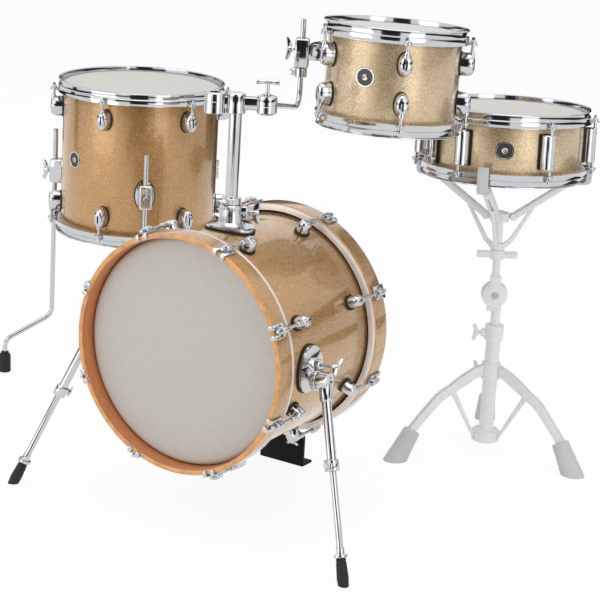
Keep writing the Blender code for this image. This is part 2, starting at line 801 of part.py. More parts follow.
def make_tom_holder():
    """Receiver on the bass shell with its wing bolt, and the post with its memory collar."""
    across = Vector((math.cos(block_angle), math.sin(block_angle), 0.0))
    base = Vector((bass_centre.x, bass_centre.y - bass_length / 2 - bass_hoop_reach + post_inset,
                   bass_centre.z + bass_radius))
    collar_z = holder_plate_top + receiver_height
    bolt_z = holder_plate_top + receiver_height * 0.60
    plate = prism(oval(holder_plate_length, holder_plate_width, 16), -0.020, holder_plate_top)
    boss = barrel((0, 0, holder_plate_top - 0.001), (0, 0, collar_z), receiver_radius, 16, receiver_radius - 0.002)
    ear = box((0.020, 0.017, receiver_height * 0.66), (receiver_ear - 0.010, 0.0, bolt_z))
    ear.transform(Matrix.Rotation(block_angle, 4, "Z"))
    body = fuse(plate, [boss, ear])
    body.transform(Matrix.Translation(base))
    bore_floor = base + UP * (holder_plate_top + 0.004)
    body = cut(body, [bass_room(), barrel(bore_floor, base + UP * 0.1, post_radius + gap, 16)])
    emit("tom_holder_base", body, "chrome")
    bolt_foot = base + across * (receiver_ear + gap) + UP * bolt_z
    bolt = wing_screw(bolt_foot, across, UP, 0.004, 0.015, holder_bolt_span)
    emit("tom_holder_wing_bolt", bolt, "chrome", bolt_foot)
    post_foot = bore_floor + UP * gap
    collar_low = base + UP * (collar_z + gap)
    lock = box((0.010, 0.012, 0.010), collar_low + UP * post_collar_height / 2 + Vector((0.0, -0.0185, 0.0)))
    post = fuse(barrel(post_foot, post_foot + UP * post_length, post_radius, 16),
                [barrel(collar_low, collar_low + UP * post_collar_height, post_collar_radius, 16), lock])
    emit("tom_holder_post", post, "chrome", post_foot)
    make_tom_arm(make_holder_block(post_foot + UP * post_length, across))


def make_holder_block(post_top, across):
    """Cast block with an open clamp, a cap over the post and the ball clamp; returns the ball's middle."""
    low = post_top.z - block_cap
    high = low + block_height
    centre = Vector((post_top.x, post_top.y, 0.0))
    cap = barrel(centre + UP * low, centre + UP * high, block_cap_radius, 16, block_cap_radius - 0.001)
    left = centre - across * block_clamp_reach
    clamp = barrel(left + UP * (low - 0.002), left + UP * (high - 0.001), block_clamp_radius, 16)
    ball = centre + across * ball_reach + UP * (low + 0.0170)
    web = box((block_clamp_reach * 2, block_web_width, block_height * 0.62), (0.0, 0.0, 0.0))
    web.transform(Matrix.Translation(centre + across * 0.006 + UP * (low + block_height * 0.5))
                  @ Matrix.Rotation(block_angle, 4, "Z"))
    housing = barrel(ball - UP * 0.0170, ball + UP * ball_housing_top, ball_housing_radius, 16)
    block = fuse(cap, [clamp, web, housing])
    exit_way = arm_direction(ball)
    mouth = barrel(ball + exit_way * 0.002, ball + exit_way * 0.030, 0.0062, 10, 0.0150)
    pocket = bmesh.new()
    bmesh.ops.create_uvsphere(pocket, u_segments=12, v_segments=8, radius=(ball_radius + gap) * 1.035)
    pocket.transform(Matrix.Translation(ball))
    post_bore = barrel(centre + UP * (low - 0.01), post_top + UP * gap, post_radius + gap, 16)
    clamp_bore = barrel(left + UP * (low - 0.01), left + UP * (high + 0.01), block_clamp_radius / 2, 12)
    block = cut(block, [post_bore, clamp_bore, fuse(pocket, [mouth])])
    emit("tom_holder_block", block, "chrome", post_top)
    screw_foot = ball + UP * (ball_housing_top + gap)
    grip = screw_foot + UP * t_screw_length
    handle = barrel(grip - across * t_screw_half, grip + across * t_screw_half, 0.0046, 8)
    emit("tom_holder_t_screw", fuse(barrel(screw_foot, grip, 0.0034, 8), [handle]), "chrome", screw_foot)
    return ball


def make_tom_arm(ball):
    """Arm from its ball to the upright rod that carries the tom."""
    rod_place = tom_rod_place()
    corner = rod_place + UP * tom_rod_bottom
    path = rounded([ball, corner, rod_place + UP * tom_rod_top], arm_bend, 4)
    sphere = bmesh.new()
    bmesh.ops.create_uvsphere(sphere, u_segments=12, v_segments=8, radius=ball_radius)
    sphere.transform(Matrix.Translation(ball))
    emit("tom_arm", fuse(sphere, [sweep(path, arm_radius, 10)]), "chrome", ball)


def tom_rod_place():
    """Where the arm's upright rod stands in plan."""
    return Vector((tom_top.x, tom_top.y, 0.0)) + polar(tom_rod_angle, tom_rod_reach)


def arm_direction(ball):
    """Direction in which the arm leaves the ball."""
    return (tom_rod_place() + UP * tom_rod_bottom - ball).normalized()


def make_tom_bracket(frame, half):
    """Memory clamp, bracket on the rod with its band around the lugs, and the wing bolt."""
    place = tom_rod_place()
    low = place + UP * memory_z
    bore = arm_radius + gap
    lock = box((0.012, 0.012, memory_height * 0.8), low + UP * memory_height / 2 + Vector((-0.012, -0.004, 0.0)))
    ring = fuse(barrel(low, low + UP * memory_height, memory_radius, 12), [lock])
    ring = cut(ring, [barrel(low - UP * 0.01, low + UP * 0.04, bore, 10)])
    emit("tom_memory_clamp", ring, "chrome", low)
    base = low + UP * (memory_height + gap)
    here = Matrix.Translation(base) @ Matrix.Rotation(tom_rod_angle, 4, "Z")
    body = box((bracket_half * 2, 0.024, bracket_height), (0.0, 0.0, bracket_height / 2), 0.003)
    body.transform(here)
    neck = box((0.030, 0.016, 0.030), (-0.018, 0.0, bracket_height * 0.55))
    neck.transform(here)
    inner = math.hypot(tom_radius + lug_reach, lug_width * lug_taper / 2) / math.cos(math.pi / band_facets) + gap
    outer = inner + band_plate
    rise = band_height / 2
    band = lathe([(inner, -rise), (outer, -rise), (outer, rise), (inner, rise)], band_facets)
    middle = tom_first_lug - math.tau / tom_lugs * 1.5
    keep_half = math.pi / tom_lugs + math.radians(4.0)
    wedge = [(0.0, 0.0)]
    for index in range(7):
        turn = middle - keep_half + 2 * keep_half * index / 6
        wedge.append((0.4 * math.cos(turn), 0.4 * math.sin(turn)))
    band = combine(band, prism(wedge, -0.05, 0.05), "INTERSECT")
    band.transform(frame @ Matrix.Translation((0.0, 0.0, half - lug_inset)))
    body = fuse(body, [neck, band])
    body = cut(body, [barrel(place + UP * 0.7, place + UP * 1.0, bore, 10)])
    emit("tom_bracket", body, "chrome", base)
    outward = polar(tom_rod_angle, 1.0)
    bolt_foot = base + outward * (bracket_half + gap) + UP * bracket_height * 0.62
    bolt = wing_screw(bolt_foot, outward, UP, 0.004, 0.011, bracket_bolt_span)
    emit("tom_bracket_wing_bolt", bolt, "chrome", bolt_foot)


def make_floor_tom():
    """Floor tom on three bent legs in clamping brackets."""
    angles = spaced(floor_first_lug, floor_lugs)
    rod_reach = floor_radius + rim_reach + floor_leg_radius + 0.0012
    bracket_depth = rod_reach - floor_radius + floor_leg_radius + 0.0045
    bracket_z = floor_bracket_z - (floor_top.z - floor_depth / 2)

    def add_brackets(shell, half):
        pieces = [badge(floor_radius, floor_badge_angle, half - floor_badge_drop)]
        holes = []
        for angle in floor_leg_angles.values():
            turn = math.radians(angle)
            plate = box((0.010, 0.040, floor_bracket_height + 0.012), (floor_radius - 0.0005, 0.0, bracket_z))
            body = box((bracket_depth + 0.002, 0.028, floor_bracket_height),
                       (floor_radius + bracket_depth / 2 - 0.001, 0.0, bracket_z), 0.004)
            for piece in (plate, body):
                piece.transform(Matrix.Rotation(turn, 4, "Z"))
                pieces.append(piece)
            centre = polar(turn, rod_reach)
            holes.append(barrel(centre - UP * half, centre + UP * half, floor_leg_radius + gap, 10))
        return cut(fuse(shell, pieces), holes)

    tuned_drum("floor_tom", floor_top, UP, floor_radius, floor_depth, angles, "sparkle", add_brackets, 0.0)
    centre = Vector((floor_top.x, floor_top.y, 0.0))
    for place, angle in floor_leg_angles.items():
        turn = math.radians(angle)
        rod = centre + polar(turn, rod_reach)
        foot = centre + polar(math.radians(floor_foot_angles[place]), floor_radius + floor_foot_spread)
        ankle = foot + UP * (floor_foot_height + 0.025)
        path = rounded([rod + UP * floor_leg_top, rod + UP * floor_leg_bend, ankle, foot + UP * 0.030], 0.028, 3)
        pad = lathe([
            (0.0, 0.0), (floor_foot_radius, 0.0), (floor_foot_radius - 0.0015, floor_foot_height - 0.007),
            (floor_foot_radius - 0.006, floor_foot_height), (0.0, floor_foot_height)], 12, closed=False)
        pad.transform(Matrix.Translation(foot))
        leg = fuse(sweep(path, floor_leg_radius, 10), [pad])
        emit(f"floor_tom_{place}_leg", leg, "chrome", rod + UP * floor_bracket_z)
        outward = polar(turn, 1.0)
        bolt_foot = centre + polar(turn, floor_radius + bracket_depth + gap) + UP * floor_bracket_z
        bolt = wing_screw(bolt_foot, outward, UP, 0.003, 0.012, floor_bolt_span)
        emit(f"floor_tom_{place}_wing_bolt", bolt, "chrome", bolt_foot)


def make_rack_tom():
    """Rack tom with its bracket."""
    angles = spaced(tom_first_lug, tom_lugs)

    def add_badge(shell, half):
        return fuse(shell, [badge(tom_radius, rack_badge_angle, half - rack_badge_drop)])

    frame = tuned_drum("rack_tom", tom_top, tom_axis, tom_radius, tom_depth, angles, "pale_sparkle", add_badge, 0.0)
    make_tom_bracket(frame, tom_depth / 2)


def make_snare():
    """Snare drum with bridge lugs, strainer body and throw-off lever."""
    angles = spaced(snare_first_lug, snare_lugs)

    def add_badge(shell, half):
        return fuse(shell, [badge(snare_radius, snare_badge_angle, 0.0)])

    frame = tuned_drum("snare", snare_top, snare_axis, snare_radius, snare_depth, angles, "pale_sparkle", add_badge,
                       snare_bridge)
    turn = Matrix.Rotation(strainer_angle, 4, "Z")
    reach = snare_radius + gap
    body = box((strainer_depth - 0.0012, strainer_width, lever_length), (reach + 0.0102, 0.0, -0.006), 0.003)
    drum = shell_room(snare_radius, snare_depth / 2, drum_facets)
    rail = box((0.012, strainer_width * 0.8, 0.020), (reach + 0.0075, 0.0, -0.034), 0.002)
    knob = barrel((reach + 0.0125, 0.0, 0.014), (reach + 0.0125, 0.0, 0.030), 0.0068, 10)
    body = fuse(body, [rail, knob])
    body.transform(turn)
    body = cut(body, [drum])
    body.transform(frame)
    emit("snare_strainer", body, "chrome")
    pivot = Vector((reach + strainer_depth + gap + 0.0022, 0.0, lever_level))
    blade = box((0.0040, 0.013, lever_length), pivot + UP * 0.018, 0.0012)
    disc = barrel(pivot - Vector((0.0020, 0, 0)), pivot + Vector((0.0042, 0, 0)), 0.0078, 10)
    tip = box((0.0080, 0.017, 0.012), pivot + Vector((0.0020, 0.0, 0.038)), 0.002)
    lever = fuse(blade, [disc, tip])
    lever.transform(frame @ turn)
    emit("snare_throw_off_lever", lever, "chrome", frame @ turn @ pivot)
    return frame


def turned(bm, angle):
    """Turns an outline drawn in reach and height so that it stands at an angle about Z."""
    bm.transform(Matrix.Rotation(angle, 4, "Z") @ Matrix.Rotation(math.radians(90.0), 4, "X"))
    return bm


def make_stand_base():
    """Lower tube with its collars and ear, three legs, and the height wing screw."""
    foot = stand_place
    ear_way = polar(math.radians(stand_wing_angle), 1.0)
    ear_centre = foot + UP * (stand_tube_top - stand_ear_drop)
    collar = foot + UP * stand_collar_z
    top = foot + UP * stand_tube_top
    low = foot + UP * stand_ring_low
    tube = fuse(barrel(low, top, stand_tube_radius, 16),
                [barrel(collar - UP * 0.017, collar + UP * 0.017, stand_collar_radius, 16),
                 barrel(low, foot + UP * stand_ring_high, stand_ring_radius, 16),
                 barrel(top - UP * 0.026, top + UP * 0.006, stand_collar_radius - 0.0005, 16),
                 barrel(ear_centre + ear_way * 0.012, ear_centre + ear_way * stand_ear_reach, 0.0085, 10)])
    tube = cut(tube, [barrel(foot + UP * (stand_ring_high + 0.004), foot + UP * 0.400, stand_upper_radius + gap, 12)])
    emit("stand_tube", tube, "pale_metal")
    wing_foot = ear_centre + ear_way * (stand_ear_reach + gap)
    wing = wing_screw(wing_foot, ear_way, UP, 0.003, 0.012, stand_screw_span)
    emit("stand_height_wing_screw", wing, "pale_metal", wing_foot)
    for place, angle in stand_leg_angles.items():
        make_stand_leg(place, math.radians(angle))


def make_stand_leg(place, turn):
    """Arched leg with its brace to the low collar and its rubber foot, cut level with the floor."""
    # Curve of the leg in shares of its spread and of the collar's height, out along the top and back below
    curve = [(0.29, 0.988), (0.47, 0.849), (0.62, 0.744), (0.84, 0.4535), (0.96, 0.279),
             (0.90, 0.221), (0.775, 0.395), (0.58, 0.6395), (0.44, 0.744), (0.26, 0.8605)]
    start = stand_collar_radius + gap
    outline = [(start, stand_collar_z + 0.014)]
    outline += [(reach * stand_leg_spread, rise * stand_collar_z) for reach, rise in curve]
    outline.append((start, stand_collar_z - 0.008))
    arch = turned(prism(outline, -stand_leg_half, stand_leg_half), turn)
    brace_start = stand_ring_radius + gap
    brace_edge = [(brace_start, stand_ring_low + 0.004), (brace_start, stand_ring_low + 0.016),
                  (0.41 * stand_leg_spread, 0.802 * stand_collar_z), (0.455 * stand_leg_spread, 0.779 * stand_collar_z)]
    brace = turned(prism(brace_edge, -stand_brace_half, stand_brace_half), turn)
    pad = barrel(polar(turn, stand_leg_spread * 0.85, stand_pad_top), polar(turn, stand_leg_spread + 0.010, -0.012),
                 stand_pad_radius - 0.005, 12, stand_pad_radius)
    leg = cut(fuse(arch, [brace, pad]), [box((1.0, 1.0, 0.1), (0.0, 0.0, -0.05))])
    leg.transform(Matrix.Translation(stand_place))
    emit(f"stand_{place}_leg", leg, "pale_metal")


def make_stand_top(frame):
    """Upper tube with the fixed tilter half, and the basket rod with the turning half."""
    foot = stand_place
    pivot = frame @ Vector((0.0, 0.0, tilter_level))
    rod_axis = frame.to_3x3() @ UP
    hinge = polar(math.radians(tilter_angle), 1.0)
    facing = Matrix((hinge, UP.cross(hinge), UP)).transposed().to_4x4()
    neck = box((tilter_plate - 0.0022, 0.030, 0.034), (0.0, 0.0, 0.0))
    neck.transform(Matrix.Translation(pivot - hinge * (0.00725 + gap) - UP * 0.020) @ facing)
    upper = fuse(barrel(foot + UP * stand_upper_low, foot + UP * (pivot.z - 0.020), stand_upper_radius, 12),
                 [barrel(pivot - hinge * tilter_plate, pivot - hinge * gap, tilter_radius, 16), neck])
    emit("stand_upper_tube", upper, "pale_metal", pivot)
    turning = barrel(UP * (basket_level - hub_half), UP * (basket_level + hub_half), hub_radius, 16)
    rod_low = tilter_level + stem_length - 0.0015
    basket = fuse(turning, [barrel(UP * rod_low, UP * (basket_level + 0.012), basket_rod_radius, 12)])
    basket.transform(frame)
    stem = box((turning_plate - 0.002, 0.022, stem_length), (0.0, 0.0, 0.0))
    stem.transform(Matrix.Translation(pivot + hinge * (turning_plate / 2 + gap) + rod_axis * 0.0245) @ facing)
    basket = fuse(basket, [barrel(pivot + hinge * gap, pivot + hinge * turning_plate, turning_radius, 16), stem])
    emit("stand_basket_rod", basket, "pale_metal", pivot)
    make_basket(frame)


def make_basket(frame):
    """T nut, three arms that hold the bottom hoop, and the crown whose struts carry them."""
    bore = basket_rod_radius + gap
    grip_z = nut_level + nut_height / 2
    nut = fuse(barrel(UP * nut_level, UP * (nut_level + nut_height), nut_radius, 12),
               [barrel((-nut_bar_half, 0.0, grip_z), (nut_bar_half, 0.0, grip_z), 0.0072, 8)])
    nut.transform(Matrix.Rotation(math.radians(stand_nut_angle), 4, "Z"))
    nut = cut(nut, [barrel(UP * (nut_level - 0.02), UP * (nut_level + 0.04), bore, 12)])
    nut.transform(frame)
    emit("stand_basket_nut", nut, "pale_metal", frame @ (UP * nut_level))
    seat = -(snare_depth / 2 + rim_height) - gap
    grip = snare_radius + rim_reach + gap
    knuckle_reach = hub_radius + gap + knuckle_radius
    low_start = Vector((knuckle_reach, basket_level - knuckle_radius + 0.0005))
    low_end = Vector((grip - 0.030, seat - 0.016))
    outline = [
        low_start, low_end, (grip + 0.004, seat - 0.013), (grip + 0.010, seat - 0.004), (grip + 0.010, seat + 0.034),
        (grip + 0.003, seat + 0.038), (grip, seat + 0.030), (grip, seat), (grip - 0.024, seat),
        (grip - 0.034, seat - 0.006), (knuckle_reach, basket_level + knuckle_radius - 0.0005),
    ]
    crown_low = nut_level + nut_height + gap
    inner = low_start.lerp(low_end, strut_share)
    outer = low_start.lerp(low_end, strut_share + 0.10)
    drop = gap * 1.5
    strut_outline = [
        (0.0105, crown_low + 0.001), (0.0125, crown_low + 0.001), (0.030, crown_low + 0.018),
        (outer.x, outer.y - drop), (inner.x, inner.y - drop), (0.024, crown_low + 0.024), (0.0105, crown_low + 0.013),
    ]
    struts = []
    for place, angle in stand_arm_angles.items():
        turn = math.radians(angle)
        side = polar(turn + math.pi / 2, knuckle_half)
        knuckle = polar(turn, knuckle_reach, basket_level)
        arm = turned(prism([tuple(point) for point in outline], -arm_width / 2, arm_width / 2), turn)
        arm = fuse(arm, [barrel(knuckle - side, knuckle + side, knuckle_radius, 10)])
        arm.transform(frame)
        emit(f"stand_{place}_arm", arm, "pale_metal", frame @ knuckle)
        struts.append(turned(prism(strut_outline, -strut_half, strut_half), turn))
    crown = fuse(barrel(UP * crown_low, UP * (crown_low + crown_height), crown_radius, 12), struts)
    crown = cut(crown, [barrel(UP * (crown_low - 0.01), UP * (crown_low + 0.03), bore, 12)])
    crown.transform(frame)
    emit("stand_basket_crown", crown, "pale_metal", frame @ (UP * crown_low))


def build():
    """Builds the whole kit."""
    clear_scene()
    make_bass_drum()
    make_spur(1, "right")
    make_spur(-1, "left")
    make_lift()
    make_tom_holder()
    make_rack_tom()
    make_floor_tom()
    make_stand_base()
    make_stand_top(make_snare())


build()
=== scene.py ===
"""Four-piece drum kit in sparkle finish, dressed over its packed solids.

Every length is in metres.
"""

import math

import bpy
from bpy.props import FloatProperty, FloatVectorProperty, IntProperty, PointerProperty
from mathutils import Matrix, Vector


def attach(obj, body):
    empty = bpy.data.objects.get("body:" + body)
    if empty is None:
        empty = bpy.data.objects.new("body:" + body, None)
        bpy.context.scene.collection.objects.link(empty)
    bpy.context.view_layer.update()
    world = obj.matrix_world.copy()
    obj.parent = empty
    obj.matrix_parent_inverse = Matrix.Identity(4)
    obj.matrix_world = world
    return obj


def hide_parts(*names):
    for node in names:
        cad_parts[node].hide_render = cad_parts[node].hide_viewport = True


bl_info = {
    "name": "Sparkle drum kit",
    "version": (1, 0, 0),
    "blender": (4, 5, 0),
    "location": "3D View > Sidebar > Drum kit",
    "description": "Models the shells, heads, hoops, lugs, spurs, legs and stand of a four-piece drum kit",
    "category": "Add Mesh",
}

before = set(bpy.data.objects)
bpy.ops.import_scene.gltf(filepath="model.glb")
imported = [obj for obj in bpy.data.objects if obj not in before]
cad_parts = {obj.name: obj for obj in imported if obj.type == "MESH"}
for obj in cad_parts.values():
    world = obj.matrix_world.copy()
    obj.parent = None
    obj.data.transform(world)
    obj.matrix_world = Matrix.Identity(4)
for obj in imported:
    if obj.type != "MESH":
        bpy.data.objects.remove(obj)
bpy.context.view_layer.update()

GAP = 0.0003  # clearance between neighbouring pieces
UP = Vector((0.0, 0.0, 1.0))
UPRIGHT = Matrix.Rotation(math.radians(90.0), 4, "X")  # an outline's Y becomes the height
Z_TO_X = Matrix.Rotation(math.radians(90.0), 4, "Y")  # the axis of a turned piece points along X
Z_TO_MINUS_Z = Matrix.Rotation(math.pi, 4, "X")  # turned over, for the lower or front end of a drum
X_IS_WIDTH = Matrix(((0, 0, 1, 0), (1, 0, 0, 0), (0, 1, 0, 0), (0, 0, 0, 1)))  # outline in Y and Z, thickness along X
OUTWARD = Matrix(((0, 0, 1, 0), (0, 1, 0, 0), (-1, 0, 0, 0), (0, 0, 0, 1)))  # an oval's face looks along X
HOOP_SKIRT = 0.0145  # how far a flanged hoop stands off its shell
POST_RADIUS = 0.0112
ARM_RADIUS = 0.0048
ARM_WAY = math.radians(-150.0)  # from the rack tom's axis to the arm's upright rod
COLLAR_RADIUS = 0.0195  # collar of the stand that carries the legs
LOW_RING_RADIUS = 0.028  # ring of the stand that carries the braces
BASKET_ROD_RADIUS = 0.0078
BASKET_LEVEL = -0.153  # the basket's hub, from the middle of the snare drum
TILTER_LEVEL = -0.31  # the tilter's pivot, from the middle of the snare drum


def length(name, description, value):
    """Length property in metres."""
    return FloatProperty(name=name, description=description, default=value, unit="LENGTH", precision=4)


def point(name, description, value):
    """Place property in metres."""
    return FloatVectorProperty(name=name, description=description, default=value, subtype="TRANSLATION", precision=4)


def turn(name, description, degrees):
    """Angle property."""
    return FloatProperty(name=name, description=description, default=math.radians(degrees), subtype="ANGLE")


def tint(name, description, red, green, blue):
    """Colour property, given as the 0 to 255 values seen on the drum."""
    linear = []
    for value in (red, green, blue):
        share = value / 255.0
        linear.append(share / 12.92 if share <= 0.04045 else ((share + 0.055) / 1.055) ** 2.4)
    return FloatVectorProperty(name=name, description=description, default=linear, subtype="COLOR", min=0.0, max=1.0)


class BassDrumSizes(bpy.types.PropertyGroup):
    """Sizes of the bass drum, its hoops and its spurs."""

    centre: point("Centre", "Middle of the bass drum", (0.045, -0.2754, 0.3316))
    radius: length("Shell radius", "Outside radius of the shell", 0.2032)
    depth: length("Shell depth", "Length of the shell from edge to edge", 0.3048)
    hoop_width: length("Hoop width", "Width of each wooden hoop", 0.04)
    hoop_thickness: length("Hoop thickness", "Thickness of each wooden hoop", 0.01)
    hoop_reach: length("Hoop reach", "How far a hoop stands beyond the shell", 0.028)
    lugs: IntProperty(name="Lugs", description="Lugs around each end", default=8, min=3, max=16)
    lug_inset: length("Lug inset", "From the shell's edge to the middle of a lug", 0.064)
    claw_width: length("Claw width", "Width of a two-pronged claw", 0.026)


class RackTomSizes(bpy.types.PropertyGroup):
    """Sizes of the rack tom."""

    top: point("Playing face", "Middle of the upper bearing edge", (0.1796, 0.0081, 0.8775))
    axis: FloatVectorProperty(name="Axis", description="Direction of the shell", default=(-0.0041, 0.0576, 0.9983),
                              subtype="DIRECTION")
    radius: length("Shell radius", "Outside radius of the shell", 0.123)
    depth: length("Shell depth", "Length of the shell from edge to edge", 0.1716)
    lugs: IntProperty(name="Lugs", description="Lugs around each end", default=5, min=3, max=16)
    first_lug: turn("First lug", "Angle of the first lug", -51.5)


class FloorTomSizes(bpy.types.PropertyGroup):
    """Sizes of the floor tom."""

    top: point("Playing face", "Middle of the upper bearing edge", (-0.5411, 0.2072, 0.6519))
    axis: FloatVectorProperty(name="Axis", description="Direction of the shell", default=(0.0, 0.0, 1.0),
                              subtype="DIRECTION")
    radius: length("Shell radius", "Outside radius of the shell", 0.1651)
    depth: length("Shell depth", "Length of the shell from edge to edge", 0.3048)
    lugs: IntProperty(name="Lugs", description="Lugs around each end", default=6, min=3, max=16)
    first_lug: turn("First lug", "Angle of the first lug", -78.75)
    leg_radius: length("Leg radius", "Radius of a leg's rod", 0.0053)
    bracket_z: length("Bracket level", "Height of the leg brackets above the floor", 0.45)


class SnareSizes(bpy.types.PropertyGroup):
    """Sizes of the snare drum."""

    top: point("Playing face", "Middle of the upper bearing edge", (0.2686, 0.3108, 0.7037))
    axis: FloatVectorProperty(name="Axis", description="Direction of the shell", default=(-0.0364, 0.0397, 0.9985),
                              subtype="DIRECTION")
    radius: length("Shell radius", "Outside radius of the shell", 0.1524)
    depth: length("Shell depth", "Length of the shell from edge to edge", 0.118)
    lugs: IntProperty(name="Lugs", description="Lugs around the shell", default=6, min=3, max=16)
    first_lug: turn("First lug", "Angle of the first lug", -93.5)
    strainer: turn("Strainer", "Angle of the strainer", -123.5)


class FittingSizes(bpy.types.PropertyGroup):
    """Sizes shared by the fittings of the tuned drums."""

    wall: length("Shell wall", "Thickness of a tom's shell", 0.006)
    lug_height: length("Lug height", "Height of an oval lug", 0.044)
    lug_width: length("Lug width", "Width of an oval lug", 0.027)
    lug_reach: length("Lug reach", "How far a lug stands off the shell", 0.0262)
    lug_inset: length("Lug inset", "From the shell's edge to the middle of a lug", 0.05)
    ear_reach: length("Rod reach", "From the shell to the middle of a tension rod", 0.0195)
    rod_radius: length("Rod radius", "Radius of a tension rod", 0.0029)
    rim_height: length("Rim height", "How far a hoop stands above its head", 0.011)


class StandSizes(bpy.types.PropertyGroup):
    """Sizes of the snare stand."""

    place: point("Place", "Where the stand's tube meets the floor", (0.281, 0.312, 0.0))
    tube_radius: length("Tube radius", "Radius of the lower tube", 0.0145)
    tube_top: length("Tube top", "Height of the lower tube", 0.262)
    upper_radius: length("Upper tube radius", "Radius of the upper tube", 0.0095)
    collar_z: length("Leg collar", "Height of the collar that carries the legs", 0.172)
    leg_spread: length("Leg spread", "From the tube to the middle of a rubber foot", 0.2)


class KitColours(bpy.types.PropertyGroup):
    """Colours of the finishes."""

    gold_light: tint("Gold light flakes", "Lightest flakes of the gold wrap", 228, 188, 134)
    gold_middle: tint("Gold flakes", "Middle flakes of the gold wrap", 190, 145, 90)
    gold_dark: tint("Gold dark flakes", "Darkest flakes of the gold wrap", 152, 110, 64)
    pale_light: tint("Pale light flakes", "Lightest flakes of the pale wrap", 252, 234, 202)
    pale_middle: tint("Pale flakes", "Middle flakes of the pale wrap", 214, 188, 149)
    pale_dark: tint("Pale dark flakes", "Darkest flakes of the pale wrap", 180, 150, 111)
    hoop_edge: tint("Hoop edge", "Light wood at the front of a bass hoop", 232, 168, 104)
    hoop_inside: tint("Hoop inside", "Lacquered wood inside a bass hoop", 206, 128, 76)
    maple: tint("Shell inside", "Bare wood inside a shell", 206, 166, 118)
    front_film: tint("Front film", "Film of the bass drum's front head", 204, 200, 194)
    coated_film: tint("Coated film", "Coated film of the playing heads", 226, 226, 220)
    steel: tint("Chrome", "Chromed steel", 204, 205, 208)
    stripe: tint("Flesh hoop", "Metal ring between hoop and shell", 240, 230, 224)
    stand: tint("Stand", "Pale satin steel of the stand", 252, 252, 252)
    stand_rubber: tint("Stand rubber", "Pale rubber of the stand's feet", 218, 219, 222)


# Modelling helpers


def clear_selection():
    """Leaves object mode on and nothing selected."""
    active = bpy.context.view_layer.objects.active
    if active and active.mode != "OBJECT":
        bpy.ops.object.mode_set(mode="OBJECT")
    bpy.ops.object.select_all(action="DESELECT")


def pick(items):
    """Selects only these objects."""
    clear_selection()
    for item in items:
        item.select_set(True)
    bpy.context.view_layer.objects.active = items[0]


def paint(item, finish):
    """Gives the whole object one finish."""
    item.data.materials.clear()
    item.data.materials.append(bpy.data.materials[finish])
    return item


def placed(item, matrix):
    """Moves the object and applies its place to the mesh."""
    pick([item])
    item.matrix_world = matrix @ item.matrix_world
    bpy.ops.object.transform_apply()
    return item


def softened(item, width, segments=2, angle=35.0):
    """Rounds the edges of an object with a bevel."""
    pick([item])
    step = item.modifiers.new("Bevel", "BEVEL")
    step.width = width
    step.segments = segments
    step.limit_method = "ANGLE"
    step.angle_limit = math.radians(angle)
    step.use_clamp_overlap = True
    bpy.ops.object.modifier_apply(modifier=step.name)
    return item


def closed_up(item, finish, merge=True):
    """Merges doubled points, turns the faces outward, leaves edit mode and paints the object."""
    bpy.ops.mesh.select_all(action="SELECT")
    if merge:
        bpy.ops.mesh.remove_doubles(threshold=0.000002)
    bpy.ops.mesh.normals_make_consistent(inside=False)
    bpy.ops.object.mode_set(mode="OBJECT")
    return paint(item, finish)


def turned(profile, finish, steps=48, matrix=None):
    """Closed outline of (reach, height) points spun about Z."""
    clear_selection()
    bpy.ops.mesh.primitive_circle_add(vertices=len(profile), radius=0.1, fill_type="NOTHING")
    item = bpy.context.object
    for vertex, (reach, height) in zip(item.data.vertices, profile):
        vertex.co = (reach, 0.0, height)
        vertex.select = abs(reach) < 1e-7
    for edge in item.data.edges:
        edge.select = all(item.data.vertices[corner].select for corner in edge.vertices)
    axis_points = sum(vertex.select for vertex in item.data.vertices)
    bpy.ops.object.mode_set(mode="EDIT")
    bpy.ops.mesh.select_mode(type="VERT")
    if axis_points == 2:
        bpy.ops.mesh.delete(type="EDGE")
    bpy.ops.mesh.select_all(action="SELECT")
    bpy.ops.mesh.spin(steps=steps, angle=math.tau, center=(0.0, 0.0, 0.0), axis=(0.0, 0.0, 1.0))
    closed_up(item, finish)
    return placed(item, matrix) if matrix else item


def plate(outline, low, high, finish, bevel=0.0, segments=2, matrix=None):
    """Flat outline in X and Y raised into a plate, with rounded edges."""
    clear_selection()
    bpy.ops.mesh.primitive_circle_add(vertices=len(outline), radius=0.1, fill_type="NGON")
    item = bpy.context.object
    for vertex, (x, y) in zip(item.data.vertices, outline):
        vertex.co = (x, y, low)
    bpy.ops.object.mode_set(mode="EDIT")
    bpy.ops.mesh.select_all(action="SELECT")
    bpy.ops.mesh.extrude_region_move(TRANSFORM_OT_translate={"value": (0.0, 0.0, high - low)})
    closed_up(item, finish, merge=False)
    if bevel:
        softened(item, bevel, segments)
    return placed(item, matrix) if matrix else item


def block(size, centre, finish, bevel=0.001, segments=2, matrix=None):
    """Rectangular block with rounded edges."""
    clear_selection()
    bpy.ops.mesh.primitive_cube_add(size=1.0, location=centre)
    item = bpy.context.object
    item.scale = size
    bpy.ops.object.transform_apply()
    paint(item, finish)
    if bevel:
        softened(item, bevel, segments)
    return placed(item, matrix) if matrix else item


def bar(start, end, radius, finish, steps=24, edge=0.0006):
    """Round bar between two points with softened ends."""
    start = Vector(start)
    line = Vector(end) - start
    profile = soft_wall(0.0, radius, 0.0, line.length, edge, edge)
    side = (1.0, 0.0, 0.0) if abs(line.normalized().x) < 0.9 else (0.0, 1.0, 0.0)
    return turned(profile, finish, steps, frame_along(start, line, side))


